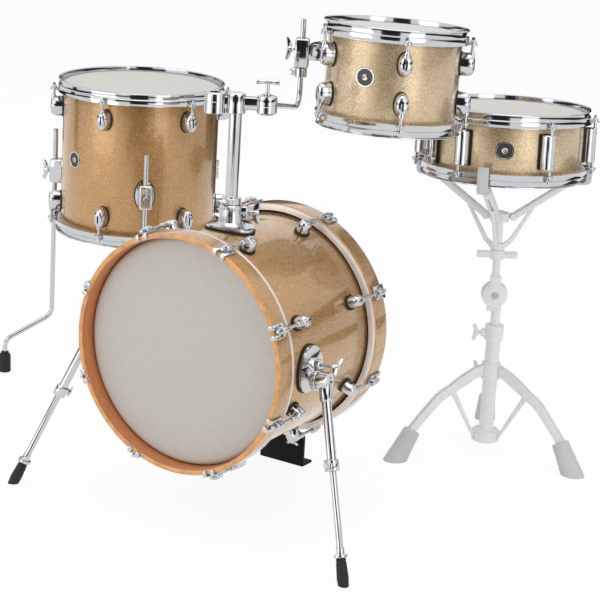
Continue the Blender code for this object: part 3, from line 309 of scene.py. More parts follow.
def pipe(path, radius, finish, resolution=4):
    """Round rod that follows a path of points."""
    clear_selection()
    bpy.ops.curve.primitive_nurbs_path_add()
    item = bpy.context.object
    spline = item.data.splines[0]
    spline.points.add(len(path) - len(spline.points))
    spline.type = "POLY"
    for target, place in zip(spline.points, path):
        target.co = (*place, 1.0)
    item.data.bevel_depth = radius
    item.data.bevel_resolution = resolution
    item.data.use_fill_caps = True
    bpy.ops.object.convert(target="MESH")
    item = bpy.context.object
    bpy.ops.object.mode_set(mode="EDIT")
    return closed_up(item, finish)


def carve(item, tool, operation="DIFFERENCE"):
    """Boolean of an object with a tool, which is used up."""
    pick([item])
    step = item.modifiers.new("Boolean", "BOOLEAN")
    step.operation = operation
    step.solver = "EXACT"
    step.object = tool
    bpy.ops.object.modifier_apply(modifier=step.name)
    bpy.data.objects.remove(tool, do_unlink=True)
    return item


def joined(parts):
    """Joins several objects into one."""
    pick(parts)
    if len(parts) > 1:
        bpy.ops.object.join()
    return bpy.context.view_layer.objects.active


def copies(item, matrices):
    """A copy with its own mesh at each place; the pattern itself is used up."""
    made = []
    for matrix in matrices:
        pick([item])
        bpy.ops.object.duplicate(linked=False)
        twin = bpy.context.view_layer.objects.active
        twin.matrix_world = matrix
        made.append(twin)
    pick(made)
    bpy.ops.object.transform_apply()
    bpy.data.objects.remove(item, do_unlink=True)
    return made


def dress(name, parts, body, node=None):
    """Joins the parts into one named piece that rides on a body and stands for a CAD node, by default its namesake."""
    item = joined(parts)
    item.name = item.data.name = name
    pick([item])
    bpy.ops.object.shade_smooth_by_angle(angle=math.radians(32.0))
    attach(item, body)
    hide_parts(node or body)
    return item


# Places and outlines


def polar(angle, reach, height=0.0):
    """Point at an angle and reach about the Z axis."""
    return Vector((reach * math.cos(angle), reach * math.sin(angle), height))


def about_z(angle):
    """Turn about Z."""
    return Matrix.Rotation(angle, 4, "Z")


def at(place):
    """Move to a place."""
    return Matrix.Translation(place)


def shift(x, y, z):
    """Move by a distance."""
    return Matrix.Translation((x, y, z))


def facing_end(side):
    """Turns a fitting over at the end of a drum where side is negative."""
    return Z_TO_MINUS_Z if side < 0 else Matrix.Identity(4)


def mirrored(outline, side):
    """Outline with its heights turned over where side is negative."""
    return [(across, side * height) for across, height in outline]


def spaced(first, count):
    """Angles of evenly spaced fittings."""
    return [first + index * math.tau / count for index in range(count)]


def frame_along(origin, z_axis, x_axis):
    """Local frame with a given Z and an X as close as possible to the given one."""
    z = Vector(z_axis).normalized()
    y = z.cross(Vector(x_axis)).normalized()
    x = y.cross(z)
    return at(origin) @ Matrix((x, y, z)).transposed().to_4x4()


def frame_at(origin, axis):
    """Local frame with its Z along an axis and its X close to the world X."""
    return frame_along(origin, axis, (1.0, 0.0, 0.0))


def oval(length_across, width, count=40):
    """Outline of an ellipse."""
    steps = [index * math.tau / count for index in range(count)]
    return [(length_across / 2 * math.cos(step), width / 2 * math.sin(step)) for step in steps]


def plain_wall(inner, outer, low, high):
    """Outline of a plain ring or rod."""
    return [(inner, low), (outer, low), (outer, high), (inner, high)]


def soft_wall(inner, outer, low, high, edge, rise):
    """Outline of a ring or rod with its outer corners taken off."""
    return [(inner, low), (outer - edge, low), (outer, low + rise), (outer, high - rise), (outer - edge, high),
            (inner, high)]


def tongue(start, end, width):
    """Outline along X with one round end."""
    steps = 8
    points = [(start, -width / 2)]
    for index in range(steps + 1):
        swing = math.pi * (index / steps - 0.5)
        points.append((end - width / 2 + width / 2 * math.cos(swing), width / 2 * math.sin(swing)))
    points.append((start, width / 2))
    return points


def rounded(path, radius, steps=8):
    """Path with its inner corners replaced by arcs."""
    points = [Vector(place) for place in path]
    result = [points[0]]
    for before, corner, after in zip(points, points[1:], points[2:]):
        to_before = (before - corner).normalized()
        to_after = (after - corner).normalized()
        half = to_before.angle(to_after) / 2
        reach = min(radius / math.tan(half), (before - corner).length * 0.45, (after - corner).length * 0.45)
        start = corner + to_before * reach
        end = corner + to_after * reach
        for index in range(steps + 1):
            share = index / steps
            result.append(start.lerp(corner, share).lerp(corner.lerp(end, share), share))
    result.append(points[-1])
    return result


# Finishes


def shader_of(name, colour, metallic, roughness, coat=0.0, coat_roughness=0.03, gloss=0.5):
    """New material with its Principled shader and the object's own coordinates."""
    made = bpy.data.materials.new(name)
    made.use_nodes = True
    tree = made.node_tree
    shader = tree.nodes["Principled BSDF"]
    shader.inputs["Base Color"].default_value = (*colour, 1.0)
    shader.inputs["Metallic"].default_value = metallic
    shader.inputs["Roughness"].default_value = roughness
    shader.inputs["Coat Weight"].default_value = coat
    shader.inputs["Coat Roughness"].default_value = coat_roughness
    shader.inputs["Specular IOR Level"].default_value = gloss
    return tree, shader, tree.nodes.new("ShaderNodeTexCoord").outputs["Object"]


def noise(tree, place, scale, detail, stretch=(1.0, 1.0, 1.0)):
    """Noise over the object's coordinates."""
    mapping = tree.nodes.new("ShaderNodeMapping")
    mapping.inputs["Scale"].default_value = stretch
    pattern = tree.nodes.new("ShaderNodeTexNoise")
    pattern.inputs["Scale"].default_value = scale
    pattern.inputs["Detail"].default_value = detail
    tree.links.new(place, mapping.inputs["Vector"])
    tree.links.new(mapping.outputs["Vector"], pattern.inputs["Vector"])
    return pattern.outputs["Fac"]


def combined(tree, kind, operation, *sources):
    """Output of a math node fed by values and by other nodes."""
    step = tree.nodes.new(kind)
    step.operation = operation
    for socket, source in zip(step.inputs, sources):
        if isinstance(source, bpy.types.NodeSocket):
            tree.links.new(source, socket)
        else:
            socket.default_value = source
    return step.outputs[0]


def colour_by(tree, shader, source, stops):
    """Colours the surface by a pattern."""
    ramp = tree.nodes.new("ShaderNodeValToRGB")
    ramp.color_ramp.elements[0].position = stops[0][0]
    ramp.color_ramp.elements[0].color = (*stops[0][1], 1.0)
    ramp.color_ramp.elements[1].position = stops[-1][0]
    ramp.color_ramp.elements[1].color = (*stops[-1][1], 1.0)
    for position, colour in stops[1:-1]:
        ramp.color_ramp.elements.new(position).color = (*colour, 1.0)
    tree.links.new(source, ramp.inputs["Fac"])
    tree.links.new(ramp.outputs["Color"], shader.inputs["Base Color"])


def roughness_by(tree, shader, source, low, high):
    """Varies the roughness by a pattern."""
    spread = tree.nodes.new("ShaderNodeMapRange")
    spread.inputs["To Min"].default_value = low
    spread.inputs["To Max"].default_value = high
    tree.links.new(source, spread.inputs["Value"])
    tree.links.new(spread.outputs["Result"], shader.inputs["Roughness"])


def relief_by(tree, shader, source, strength, distance):
    """Raises the surface slightly by a pattern."""
    bump = tree.nodes.new("ShaderNodeBump")
    bump.inputs["Strength"].default_value = strength
    bump.inputs["Distance"].default_value = distance
    tree.links.new(source, bump.inputs["Height"])
    tree.links.new(bump.outputs["Normal"], shader.inputs["Normal"])


def shaded(colour, factor):
    """Colour made darker or lighter."""
    return tuple(min(1.0, channel * factor) for channel in colour)


def make_sparkle(name, dark, middle, light):
    """Sparkle wrap: metal flakes of under a millimetre, in drifts, under clear lacquer."""
    tree, shader, place = shader_of(name, middle, 0.64, 0.3, coat=1.0, coat_roughness=0.05)
    flakes = tree.nodes.new("ShaderNodeTexVoronoi")
    flakes.inputs["Scale"].default_value = 960.0
    tree.links.new(place, flakes.inputs["Vector"])
    apart = tree.nodes.new("ShaderNodeSeparateColor")
    tree.links.new(flakes.outputs["Color"], apart.inputs["Color"])
    drift_share = 0.16
    drift = combined(tree, "ShaderNodeMath", "MULTIPLY", noise(tree, place, 26.0, 4.0), drift_share)
    blend = combined(tree, "ShaderNodeMath", "MULTIPLY_ADD", apart.outputs["Red"], 1.0 - drift_share, drift)
    colour_by(tree, shader, blend, [(0.1, dark), (0.36, middle), (0.66, middle), (0.88, light)])
    roughness_by(tree, shader, apart.outputs["Green"], 0.22, 0.42)
    tilted_flakes(tree, shader, flakes.outputs["Color"], 0.11)


def tilted_flakes(tree, shader, directions, amount):
    """Leans each flake its own way, so that single flakes catch the light."""
    kind = "ShaderNodeVectorMath"
    normal = tree.nodes.new("ShaderNodeNewGeometry").outputs["Normal"]
    centred = combined(tree, kind, "SUBTRACT", directions, (0.5, 0.5, 0.5))
    lean = combined(tree, kind, "MULTIPLY_ADD", centred, (amount, amount, amount), normal)
    tree.links.new(combined(tree, kind, "NORMALIZE", lean), shader.inputs["Normal"])


def make_wood(name, colour, gloss, stretch):
    """Lacquered wood with fine grain and slow colour drift."""
    tree, shader, place = shader_of(name, colour, 0.0, 0.35, coat=gloss, coat_roughness=0.08)
    grain = noise(tree, place, 60.0, 6.0, stretch)
    colour_by(tree, shader, grain, [(0.3, shaded(colour, 0.72)), (0.52, colour), (0.72, shaded(colour, 1.16))])
    roughness_by(tree, shader, grain, 0.28, 0.48)
    relief_by(tree, shader, grain, 0.12, 0.0002)


def make_metal(name, colour, metallic, low, high, scale, relief=0.0):
    """Metal with slight wear in its gloss and colour."""
    tree, shader, place = shader_of(name, colour, metallic, low)
    wear = noise(tree, place, scale, 4.0)
    colour_by(tree, shader, wear, [(0.25, shaded(colour, 0.93)), (0.6, colour), (0.85, shaded(colour, 1.02))])
    roughness_by(tree, shader, wear, low, high)
    if relief:
        relief_by(tree, shader, wear, relief, 0.0002)


def make_soft(name, colour, low, high, scale, relief, gloss=0.5):
    """Rubber, paint, coated film, or a dark band of painted shade, with a fine tooth."""
    tree, shader, place = shader_of(name, colour, 0.0, low, gloss=gloss)
    tooth = noise(tree, place, scale, 5.0)
    colour_by(tree, shader, tooth, [(0.3, shaded(colour, 0.9)), (0.55, colour), (0.8, shaded(colour, 1.06))])
    roughness_by(tree, shader, tooth, low, high)
    relief_by(tree, shader, tooth, relief, 0.0002)


def make_finishes(context):
    colours = context.scene.kit_colours
    make_sparkle("gold_sparkle", colours.gold_dark, colours.gold_middle, colours.gold_light)
    make_sparkle("pale_sparkle", colours.pale_dark, colours.pale_middle, colours.pale_light)
    make_wood("hoop_edge_wood", colours.hoop_edge, 0.5, (1.0, 6.0, 1.0))
    make_wood("hoop_inside_wood", colours.hoop_inside, 0.7, (1.0, 6.0, 1.0))
    make_wood("bare_maple", colours.maple, 0.1, (1.0, 1.0, 8.0))
    make_soft("front_film", colours.front_film, 0.34, 0.46, 500.0, 0.03)
    make_soft("coated_film", colours.coated_film, 0.55, 0.75, 900.0, 0.15)
    make_metal("chrome", colours.steel, 1.0, 0.06, 0.13, 45.0)
    make_metal("flesh_metal", colours.stripe, 0.35, 0.28, 0.38, 60.0)
    make_metal("stand_steel", colours.stand, 0.05, 0.34, 0.46, 160.0, relief=0.04)
    make_soft("stand_rubber", colours.stand_rubber, 0.6, 0.78, 420.0, 0.12)
    make_soft("black_rubber", (0.012, 0.012, 0.013), 0.6, 0.8, 420.0, 0.15)
    make_soft("black_paint", (0.004, 0.004, 0.005), 0.36, 0.52, 700.0, 0.1, gloss=0.12)
    # painted shade: a near-black band standing for the shadow in the gap between a bass head's flesh hoop and the shell
    make_soft("dark_felt", (0.02, 0.017, 0.015), 0.85, 0.95, 900.0, 0.25, gloss=0.2)
    make_metal("badge_grey", (0.085, 0.083, 0.08), 0.8, 0.3, 0.45, 220.0)


# Fittings shared by the drums


def wing_screw(foot, direction, wing_axis, shaft, hub, span, finish="chrome", shaft_radius=0.003):
    """Wing screw: threaded shank, hub and a flat pair of wings; the foot is the tip of the shank."""
    half = [(0.0, 0.12), (0.12, 0.18), (0.24, 0.28), (0.36, 0.44), (0.455, 0.66), (0.497, 0.88), (0.49, 1.04),
            (0.45, 1.14), (0.385, 1.18), (0.28, 1.12), (0.16, 1.0), (0.0, 0.94)]
    right = [(across * span, shaft + rise * hub) for across, rise in half]
    left = [(-across, height) for across, height in right[-2:0:-1]]
    wing = plate(right + left, -0.0017, 0.0017, finish, 0.001, 2, UPRIGHT)
    core = turned([(0.0, 0.0), (shaft_radius - 0.0005, 0.0), (shaft_radius, 0.0005), (shaft_radius, shaft),
                   (0.0056, shaft), (0.0059, shaft + 0.0012), (0.0049, shaft + 0.0024), (0.0046, shaft + hub * 0.8),
                   (0.0036, shaft + hub), (0.0, shaft + hub)], finish, 20)
    return placed(joined([core, wing]), frame_along(foot, direction, wing_axis))


def rod_head(base, side):
    """Square key head of a tension rod on its washer, standing on its ear or claw."""
    washer = turned([(0.0029, 0.0), (0.0062, 0.0), (0.0062, 0.0011), (0.0029, 0.0011)], "chrome", 20)
    collar = turned([(0.0, 0.0011), (0.0054, 0.0011), (0.0056, 0.0018), (0.0056, 0.004), (0.0046, 0.0048),
                     (0.0, 0.0048)], "chrome", 20)
    square = block((0.006, 0.006, 0.0064), (0.0, 0.0, 0.0078), "chrome", 0.0007)
    head = joined([washer, collar, square])
    return placed(head, at(base) @ facing_end(side))


def oval_turned(profile, half_height, half_width, finish, steps):
    """Profile of reach 1 turned and drawn out to an oval; X is outward."""
    item = turned(profile, finish, steps)
    item.scale = (half_height, half_width, 1.0)
    pick([item])
    bpy.ops.object.transform_apply()
    return placed(item, OUTWARD)


def dome(height, width, reach, steps):
    """Oval chromed boss rounded on its face; X is outward."""
    profile = [(0.0, -0.003), (1.0, -0.003), (1.0, reach * 0.3), (0.985, reach * 0.5), (0.945, reach * 0.68),
               (0.86, reach * 0.83), (0.72, reach * 0.93), (0.5, reach * 0.985), (0.25, reach), (0.0, reach)]
    return oval_turned(profile, height / 2, width / 2, "chrome", steps)


def oval_lug(fittings):
    """Oval lug with a slot in its face, the rod's insert on top and a gasket behind; X is outward, Z to the rod."""
    height, width, reach = fittings.lug_height, fittings.lug_width, fittings.lug_reach
    body = dome(height * 0.97, width * 0.96, reach, 40)
    slot = block((0.02, 0.003, height * 0.46), (reach, 0.0, height * 0.04), "chrome", 0.0013)
    carve(body, slot)
    backing = block((0.001, 0.0044, height * 0.5), (reach - 0.0096, 0.0, height * 0.04), "black_rubber", 0.0003, 1)
    insert = turned([(0.0, -0.004), (0.0053, -0.004), (0.0053, 0.0085), (0.0044, 0.0096), (0.0, 0.0096)], "chrome", 20,
                    shift(fittings.ear_reach, 0.0, height * 0.3))
    gasket = oval_turned([(0.0, -0.0034), (1.0, -0.0034), (1.0, 0.0016), (0.97, 0.0022), (0.0, 0.0022)], height * 0.52,
                         width * 0.53, "black_rubber", 40)
    return joined([body, backing, insert, gasket])


def round_badge(radius, angle, height):
    """Plain round badge with a rim, a dull ring and an air vent in the middle."""
    size = 0.018
    rim = turned([(size * 0.84, -0.003), (size, -0.003), (size, 0.0004), (size * 0.96, 0.0012), (size * 0.88, 0.0012),
                  (size * 0.84, 0.0006)], "chrome", 40)
    ring = turned([(size * 0.28, -0.003), (size * 0.86, -0.003), (size * 0.86, 0.0003), (size * 0.28, 0.0003)],
                  "badge_grey", 40)
    vent = turned([(size * 0.17, -0.003), (size * 0.3, -0.003), (size * 0.32, 0.001), (size * 0.27, 0.0014),
                   (size * 0.17, 0.001)], "chrome", 24)
    hole = turned([(0.0, -0.002), (size * 0.18, -0.002), (size * 0.18, -0.0002), (0.0, -0.0002)], "bare_maple", 20)
    item = joined([rim, ring, vent, hole])
    return placed(item, about_z(angle) @ shift(radius, 0.0, height) @ Z_TO_X)


def shell_tube(radius, half, wall, wrap):
    """Shell wrapped outside and bare wood inside, with rounded bearing edges."""
    profile = []
    for side in (1, -1):
        edge = [(radius, half - 0.005), (radius - 0.0006, half - 0.003), (radius - 0.0022, half - 0.0008),
                (radius - 0.0036, half), (radius - wall + 0.0006, half - 0.0014), (radius - wall, half - 0.003)]
        profile.extend((reach, side * height) for reach, height in (edge if side > 0 else edge[::-1]))
    item = turned(profile, wrap, 160)
    item.data.materials.append(bpy.data.materials["bare_maple"])
    for face in item.data.polygons:
        if math.hypot(face.center.x, face.center.y) < radius - 0.0012:
            face.material_index = 1
    return item


def playing_head(radius, half, side):
    """Head: film pulled over the bearing edge and its metal flesh hoop."""
    top = half + GAP
    film = [(0.0, top + 0.0009), (radius - 0.006, top + 0.0009), (radius - 0.0034, top + 0.0007),
            (radius - 0.001, top - 0.0003), (radius + 0.001, top - 0.0016), (radius + 0.003, half - 0.0034),
            (radius + 0.004, half - 0.0043), (radius + 0.0026, half - 0.0048), (radius + GAP, half - 0.0032),
            (radius - 0.0034, top), (0.0, top)]
    ring = plain_wall(radius + GAP, radius + 0.0078, half - 0.0105, half - 0.0043)
    return [turned(mirrored(film, side), "coated_film", 128), turned(mirrored(ring, side), "flesh_metal", 96)]


def flanged_hoop(radius, half, side):
    """Stamped hoop with a curled lip, a straight wall, a shoulder and a flared skirt."""
    section = [(0.0046, -0.004), (0.0046, 0.0092), (0.005, 0.0102), (0.0061, 0.0107), (0.0088, 0.0107),
               (0.0101, 0.0103), (0.0107, 0.0094), (0.0105, 0.0084), (0.0096, 0.0082), (0.009, 0.009),
               (0.0072, 0.0092), (0.0066, 0.0086), (0.0066, -0.0008), (0.0072, -0.0018), (0.0098, -0.002),
               (0.0109, -0.003), (0.0113, -0.0068), (0.0123, -0.0105), (0.0142, -0.0136), (0.0145, -0.0147),
               (0.014, -0.015), (0.0127, -0.0138), (0.0104, -0.0104), (0.0094, -0.0068), (0.009, -0.0046),
               (0.0084, -0.004)]
    return turned([(radius + reach, side * (half + height)) for reach, height in section], "chrome", 144)


def hoop_ear(radius, half, side, fittings, lug_top):
    """Ear of a hoop with its rod head, tension rod and washer, at angle zero."""
    level = half - 0.015
    low, high = sorted((side * (level + 0.0004), side * (level + 0.0026)))
    ear = plate(tongue(radius + 0.0098, radius + fittings.ear_reach + 0.0085, 0.017), low, high, "chrome", 0.0008)
    boss = turned([(0.0031, 0.0), (0.008, 0.0), (0.0076, 0.0018), (0.0064, 0.0024), (0.0031, 0.0024)], "chrome", 24)
    middle = radius + fittings.ear_reach
    placed(boss, shift(middle, 0.0, side * (level + 0.0016)) @ facing_end(side))
    head = rod_head((middle, 0.0, side * (level + 0.004)), side)
    rod = bar((middle, 0.0, side * (level + 0.003)), (middle, 0.0, side * lug_top), fittings.rod_radius, "chrome",
              14, 0.0003)
    return joined([ear, boss, head, rod])


def tuned_frame(sizes):
    """Local frame at the middle of a tuned drum."""
    axis = Vector(sizes.axis).normalized()
    return frame_at(Vector(sizes.top) - axis * sizes.depth / 2, axis)


def dress_tuned_drum(prefix, body, sizes, fittings, wrap, extra, bridge=0.0):
    """Shell with lugs, heads and hoops of a tom or snare drum."""
    half = sizes.depth / 2
    local = tuned_frame(sizes)
    angles = spaced(sizes.first_lug, sizes.lugs)
    shell = [shell_tube(sizes.radius, half, fittings.wall, wrap)]
    if bridge:
        places = [about_z(angle) @ shift(sizes.radius, 0.0, 0.0) for angle in angles]
        shell += copies(bridge_lug(bridge, fittings), places)
        lug_top = bridge / 2 + 0.001
    else:
        places = []
        for angle in angles:
            for side in (1, -1):
                middle = shift(sizes.radius, 0.0, side * (half - fittings.lug_inset))
                places.append(about_z(angle) @ middle @ facing_end(side))
        shell += copies(oval_lug(fittings), places)
        lug_top = half - fittings.lug_inset + fittings.lug_height * 0.5
    shell += extra(half)
    shell_piece = placed(joined(shell), local)
    dress(prefix + "_wrapped_shell", [shell_piece], body, prefix + "_shell")
    for side, place in ((1, "batter"), (-1, "bottom")):
        head = placed(joined(playing_head(sizes.radius, half, side)), local)
        dress(f"{prefix}_{place}_film", [head], body, f"{prefix}_{place}_head")
        pattern = hoop_ear(sizes.radius, half, side, fittings, lug_top)
        rods = copies(pattern, [about_z(angle) for angle in angles])
        hoop = placed(joined([flanged_hoop(sizes.radius, half, side)] + rods), local)
        dress(f"{prefix}_{place}_flanged_hoop", [hoop], body, f"{prefix}_{place}_hoop")
    return local


def bridge_lug(bridge, fittings):
    """Half-round bridge lug with black gaskets along its sides and an insert at each end; X is outward."""
    reach = fittings.ear_reach * 0.5
    tube = turned(soft_wall(0.0, 0.0138, -bridge / 2, bridge / 2, 0.001, 0.0014), "chrome", 40,
                  shift(reach, 0.0, 0.0))
    for level in (-0.5, 0.5):
        groove = turned(plain_wall(0.013, 0.015, -0.0007, 0.0007), "chrome", 40,
                        shift(reach, 0.0, level * (bridge - 0.018)))
        carve(tube, groove)
    gasket = block((0.005, 0.031, bridge + 0.0024), (0.0002, 0.0, 0.0), "black_rubber", 0.0012)
    parts = [tube, gasket]
    for side in (1, -1):
        parts.append(turned([(0.0, 0.0), (0.005, 0.0), (0.0044, 0.001), (0.0, 0.001)], "chrome", 20,
                            shift(fittings.ear_reach, 0.0, side * bridge / 2) @ facing_end(side)))
    return joined(parts)


# Bass drum


def bass_frame(sizes):
    """Frame of the bass drum with its Z toward the player."""
    stand_up = Matrix(((1, 0, 0), (0, 0, 1), (0, -1, 0))).to_4x4()
    return at(sizes.centre) @ stand_up


def hoop_radii(sizes):
    """Inside and outside radius of a wooden hoop."""
    inner = sizes.radius + 0.004
    return inner, inner + sizes.hoop_thickness


def rod_reach(sizes):
    """From the shell to the middle of a bass drum's tension rod."""
    return sizes.hoop_thickness + 0.0044 + 0.0062


def make_bass_shell(context):
    """Wrapped shell with sixteen small lugs."""
    sizes, fittings = context.scene.bass_drum, context.scene.drum_fittings
    half = sizes.depth / 2
    body = dome(0.029, 0.023, fittings.lug_reach, 32)
    sleeve = turned([(0.0, 0.0), (0.0062, 0.0), (0.0062, 0.012), (0.0051, 0.0135), (0.0051, 0.03), (0.0043, 0.0312),
                     (0.0, 0.0312)], "chrome", 20, shift(rod_reach(sizes), 0.0, 0.0))
    gasket = oval_turned([(0.0, -0.003), (1.0, -0.003), (1.0, 0.0026), (0.96, 0.0034), (0.0, 0.0034)], 0.0168, 0.014,
                         "black_rubber", 36)
    lug = joined([body, sleeve, gasket])
    places = []
    for angle in spaced(math.pi / sizes.lugs, sizes.lugs):
        for side in (1, -1):
            middle = shift(sizes.radius, 0.0, side * (half - sizes.lug_inset))
            places.append(about_z(angle) @ middle @ facing_end(side))
    parts = [shell_tube(sizes.radius, half, 0.008, "gold_sparkle")] + copies(lug, places)
    shell = placed(joined(parts), bass_frame(sizes))
    dress("bass_wrapped_shell", [shell], "kit_base", "bass_shell")


def bass_side(place):
    """Sign of the local Z at each end of the bass drum."""
    return -1 if place == "front" else 1


def make_bass_heads(context):
    """Front and batter heads with their metal flesh hoops, and a dark ring of painted shade in the gap next to the
    shell.
    """
    sizes = context.scene.bass_drum
    half, radius = sizes.depth / 2, sizes.radius
    seat = half + sizes.hoop_reach - sizes.hoop_width
    outer = hoop_radii(sizes)[1]
    for place, film in (("front", "front_film"), ("batter", "coated_film")):
        side = bass_side(place)
        top = half + GAP
        skin = [(0.0, top + 0.0009), (radius - 0.011, top + 0.0009), (radius - 0.006, top + 0.0008),
                (radius - 0.0026, top), (radius + 0.0006, top - 0.0024), (radius + 0.0028, half - 0.006),
                (radius + 0.003, seat - GAP), (radius + 0.0018, seat - GAP), (radius + 0.0016, half - 0.0058),
                (radius - 0.0008, half - 0.0022), (radius - 0.0036, top), (0.0, top)]
        ring = [(radius + 0.003, seat - 0.0092), (outer - 0.0034, seat - 0.009), (outer - 0.0014, seat - 0.008),
                (outer - 0.0005, seat - 0.0062), (outer - 0.0004, seat - 0.0034), (outer - 0.001, seat - 0.0014),
                (outer - 0.0018, seat - GAP), (radius + 0.003, seat - GAP)]
        # painted shade: a dark ring in the gap between the flesh hoop and the shell, where there is only shadow
        shade = plain_wall(radius + GAP, radius + 0.003, seat - 0.008, seat - GAP)
        parts = [turned(mirrored(outline, side), finish, 160)
                 for outline, finish in ((skin, film), (ring, "flesh_metal"), (shade, "dark_felt"))]
        head = placed(joined(parts), bass_frame(sizes))
        dress(f"bass_{place}_film", [head], "kit_base", f"bass_{place}_head")


def bass_claw(sizes, side, fittings):
    """Two-pronged claw over the hoop with its boss, key head and tension rod, at angle zero."""
    half, radius = sizes.depth / 2, sizes.radius
    outer = hoop_radii(sizes)[1]
    face = half + sizes.hoop_reach
    wide = sizes.claw_width
    inner, proud = outer + 0.0002, outer + 0.0038
    tip = outer - 0.008
    hook = [(inner, face - 0.031), (inner, face - 0.0006), (inner - 0.0012, face + 0.0003), (tip, face + 0.0003),
            (tip, face + 0.0036), (inner - 0.0006, face + 0.0038), (proud - 0.0012, face + 0.003),
            (proud, face + 0.001), (proud, face - 0.02), (proud - 0.0006, face - 0.031)]
    outline = mirrored(hook, side)
    prong = 0.0085
    parts = [plate(outline, first, first + prong, "chrome", 0.0009, 2, UPRIGHT)
             for first in (-wide / 2, wide / 2 - prong)]
    web = [(-wide / 2 + 0.0008, face - 0.013), (-wide / 2 + 0.0008, face - 0.029), (-wide / 2 + 0.005, face - 0.0322),
           (wide / 2 - 0.005, face - 0.0322), (wide / 2 - 0.0008, face - 0.029), (wide / 2 - 0.0008, face - 0.013),
           (0.006, face - 0.011), (-0.006, face - 0.011)]
    parts.append(plate(mirrored(web, side), inner, proud, "chrome", 0.0009, 2, X_IS_WIDTH))
    reach = radius + rod_reach(sizes)
    boss = [(0.003, -0.03), (0.006, -0.03), (0.0072, -0.028), (0.0074, -0.02), (0.007, -0.0135),
            (0.0058, -0.012), (0.003, -0.012)]
    parts.append(turned([(across, face + height) for across, height in boss], "chrome", 28,
                        shift(reach, 0.0, 0.0) @ facing_end(side)))
    parts.append(rod_head((reach, 0.0, side * (face - 0.0122)), side))
    parts.append(bar((reach, 0.0, side * (face - 0.012)), (reach, 0.0, side * (half - sizes.lug_inset + 0.029)),
                     fittings.rod_radius, "chrome", 14, 0.0003))
    return joined(parts)


def make_bass_hoops(context):
    """Wooden hoops with a wrapped face, a light edge and a lacquered inside, and eight claws each."""
    sizes, fittings = context.scene.bass_drum, context.scene.drum_fittings
    half = sizes.depth / 2
    inner, outer = hoop_radii(sizes)
    face = half + sizes.hoop_reach
    seat = face - sizes.hoop_width
    for place in ("front", "batter"):
        side = bass_side(place)
        section = [(inner, seat), (inner, face - 0.003), (inner + 0.0008, face - 0.001), (inner + 0.0026, face),
                   (outer - 0.0032, face), (outer - 0.0014, face - 0.0006), (outer - 0.0004, face - 0.0018),
                   (outer, face - 0.0036), (outer, seat + 0.0006), (outer - 0.0006, seat)]
        ring = turned(mirrored(section, side), "gold_sparkle", 176)
        for finish in ("hoop_edge_wood", "hoop_inside_wood"):
            ring.data.materials.append(bpy.data.materials[finish])
        for spot in ring.data.polygons:
            reach = math.hypot(spot.center.x, spot.center.y)
            if reach < inner + 0.001 and abs(spot.normal.z) < 0.8:
                spot.material_index = 2
            elif abs(spot.normal.z) > 0.6:
                spot.material_index = 1
        angles = spaced(math.pi / sizes.lugs, sizes.lugs)
        claws = copies(bass_claw(sizes, side, fittings), [about_z(angle) for angle in angles])
        hoop = placed(joined([ring] + claws), bass_frame(sizes))
        dress(f"bass_{place}_wood_hoop", [hoop], "kit_base", f"bass_{place}_hoop")


def curved_plate(outline, place, low, high, finish, sizes, bevel):
    """Oval plate bent round the bass drum's shell; the outline is seen from outside."""
    ring = turned(plain_wall(sizes.radius + low, sizes.radius + high, -0.08, 0.08), finish, 180)
    placed(ring, shift(sizes.centre[0], place.y, sizes.centre[2]) @ UPRIGHT)
    cutter = plate(outline, 0.1, 0.26, finish)
    carve(ring, placed(cutter, place_outward(place, sizes)), "INTERSECT")
    return softened(ring, bevel, 2, 40.0)


def place_outward(place, sizes):
    """Frame at the bass drum's axis with its Z toward a fitting on the shell."""
    centre = Vector((sizes.centre[0], place.y, sizes.centre[2]))
    outward = Vector((place.x - centre.x, 0.0, place.z - centre.z))
    return frame_along(centre, outward, (0.0, 1.0, 0.0))


def fold_axis(side):
    """Axis about which a spur folds back along the shell."""
    return Vector((side * 1.0, 0.073, 0.09)).normalized()


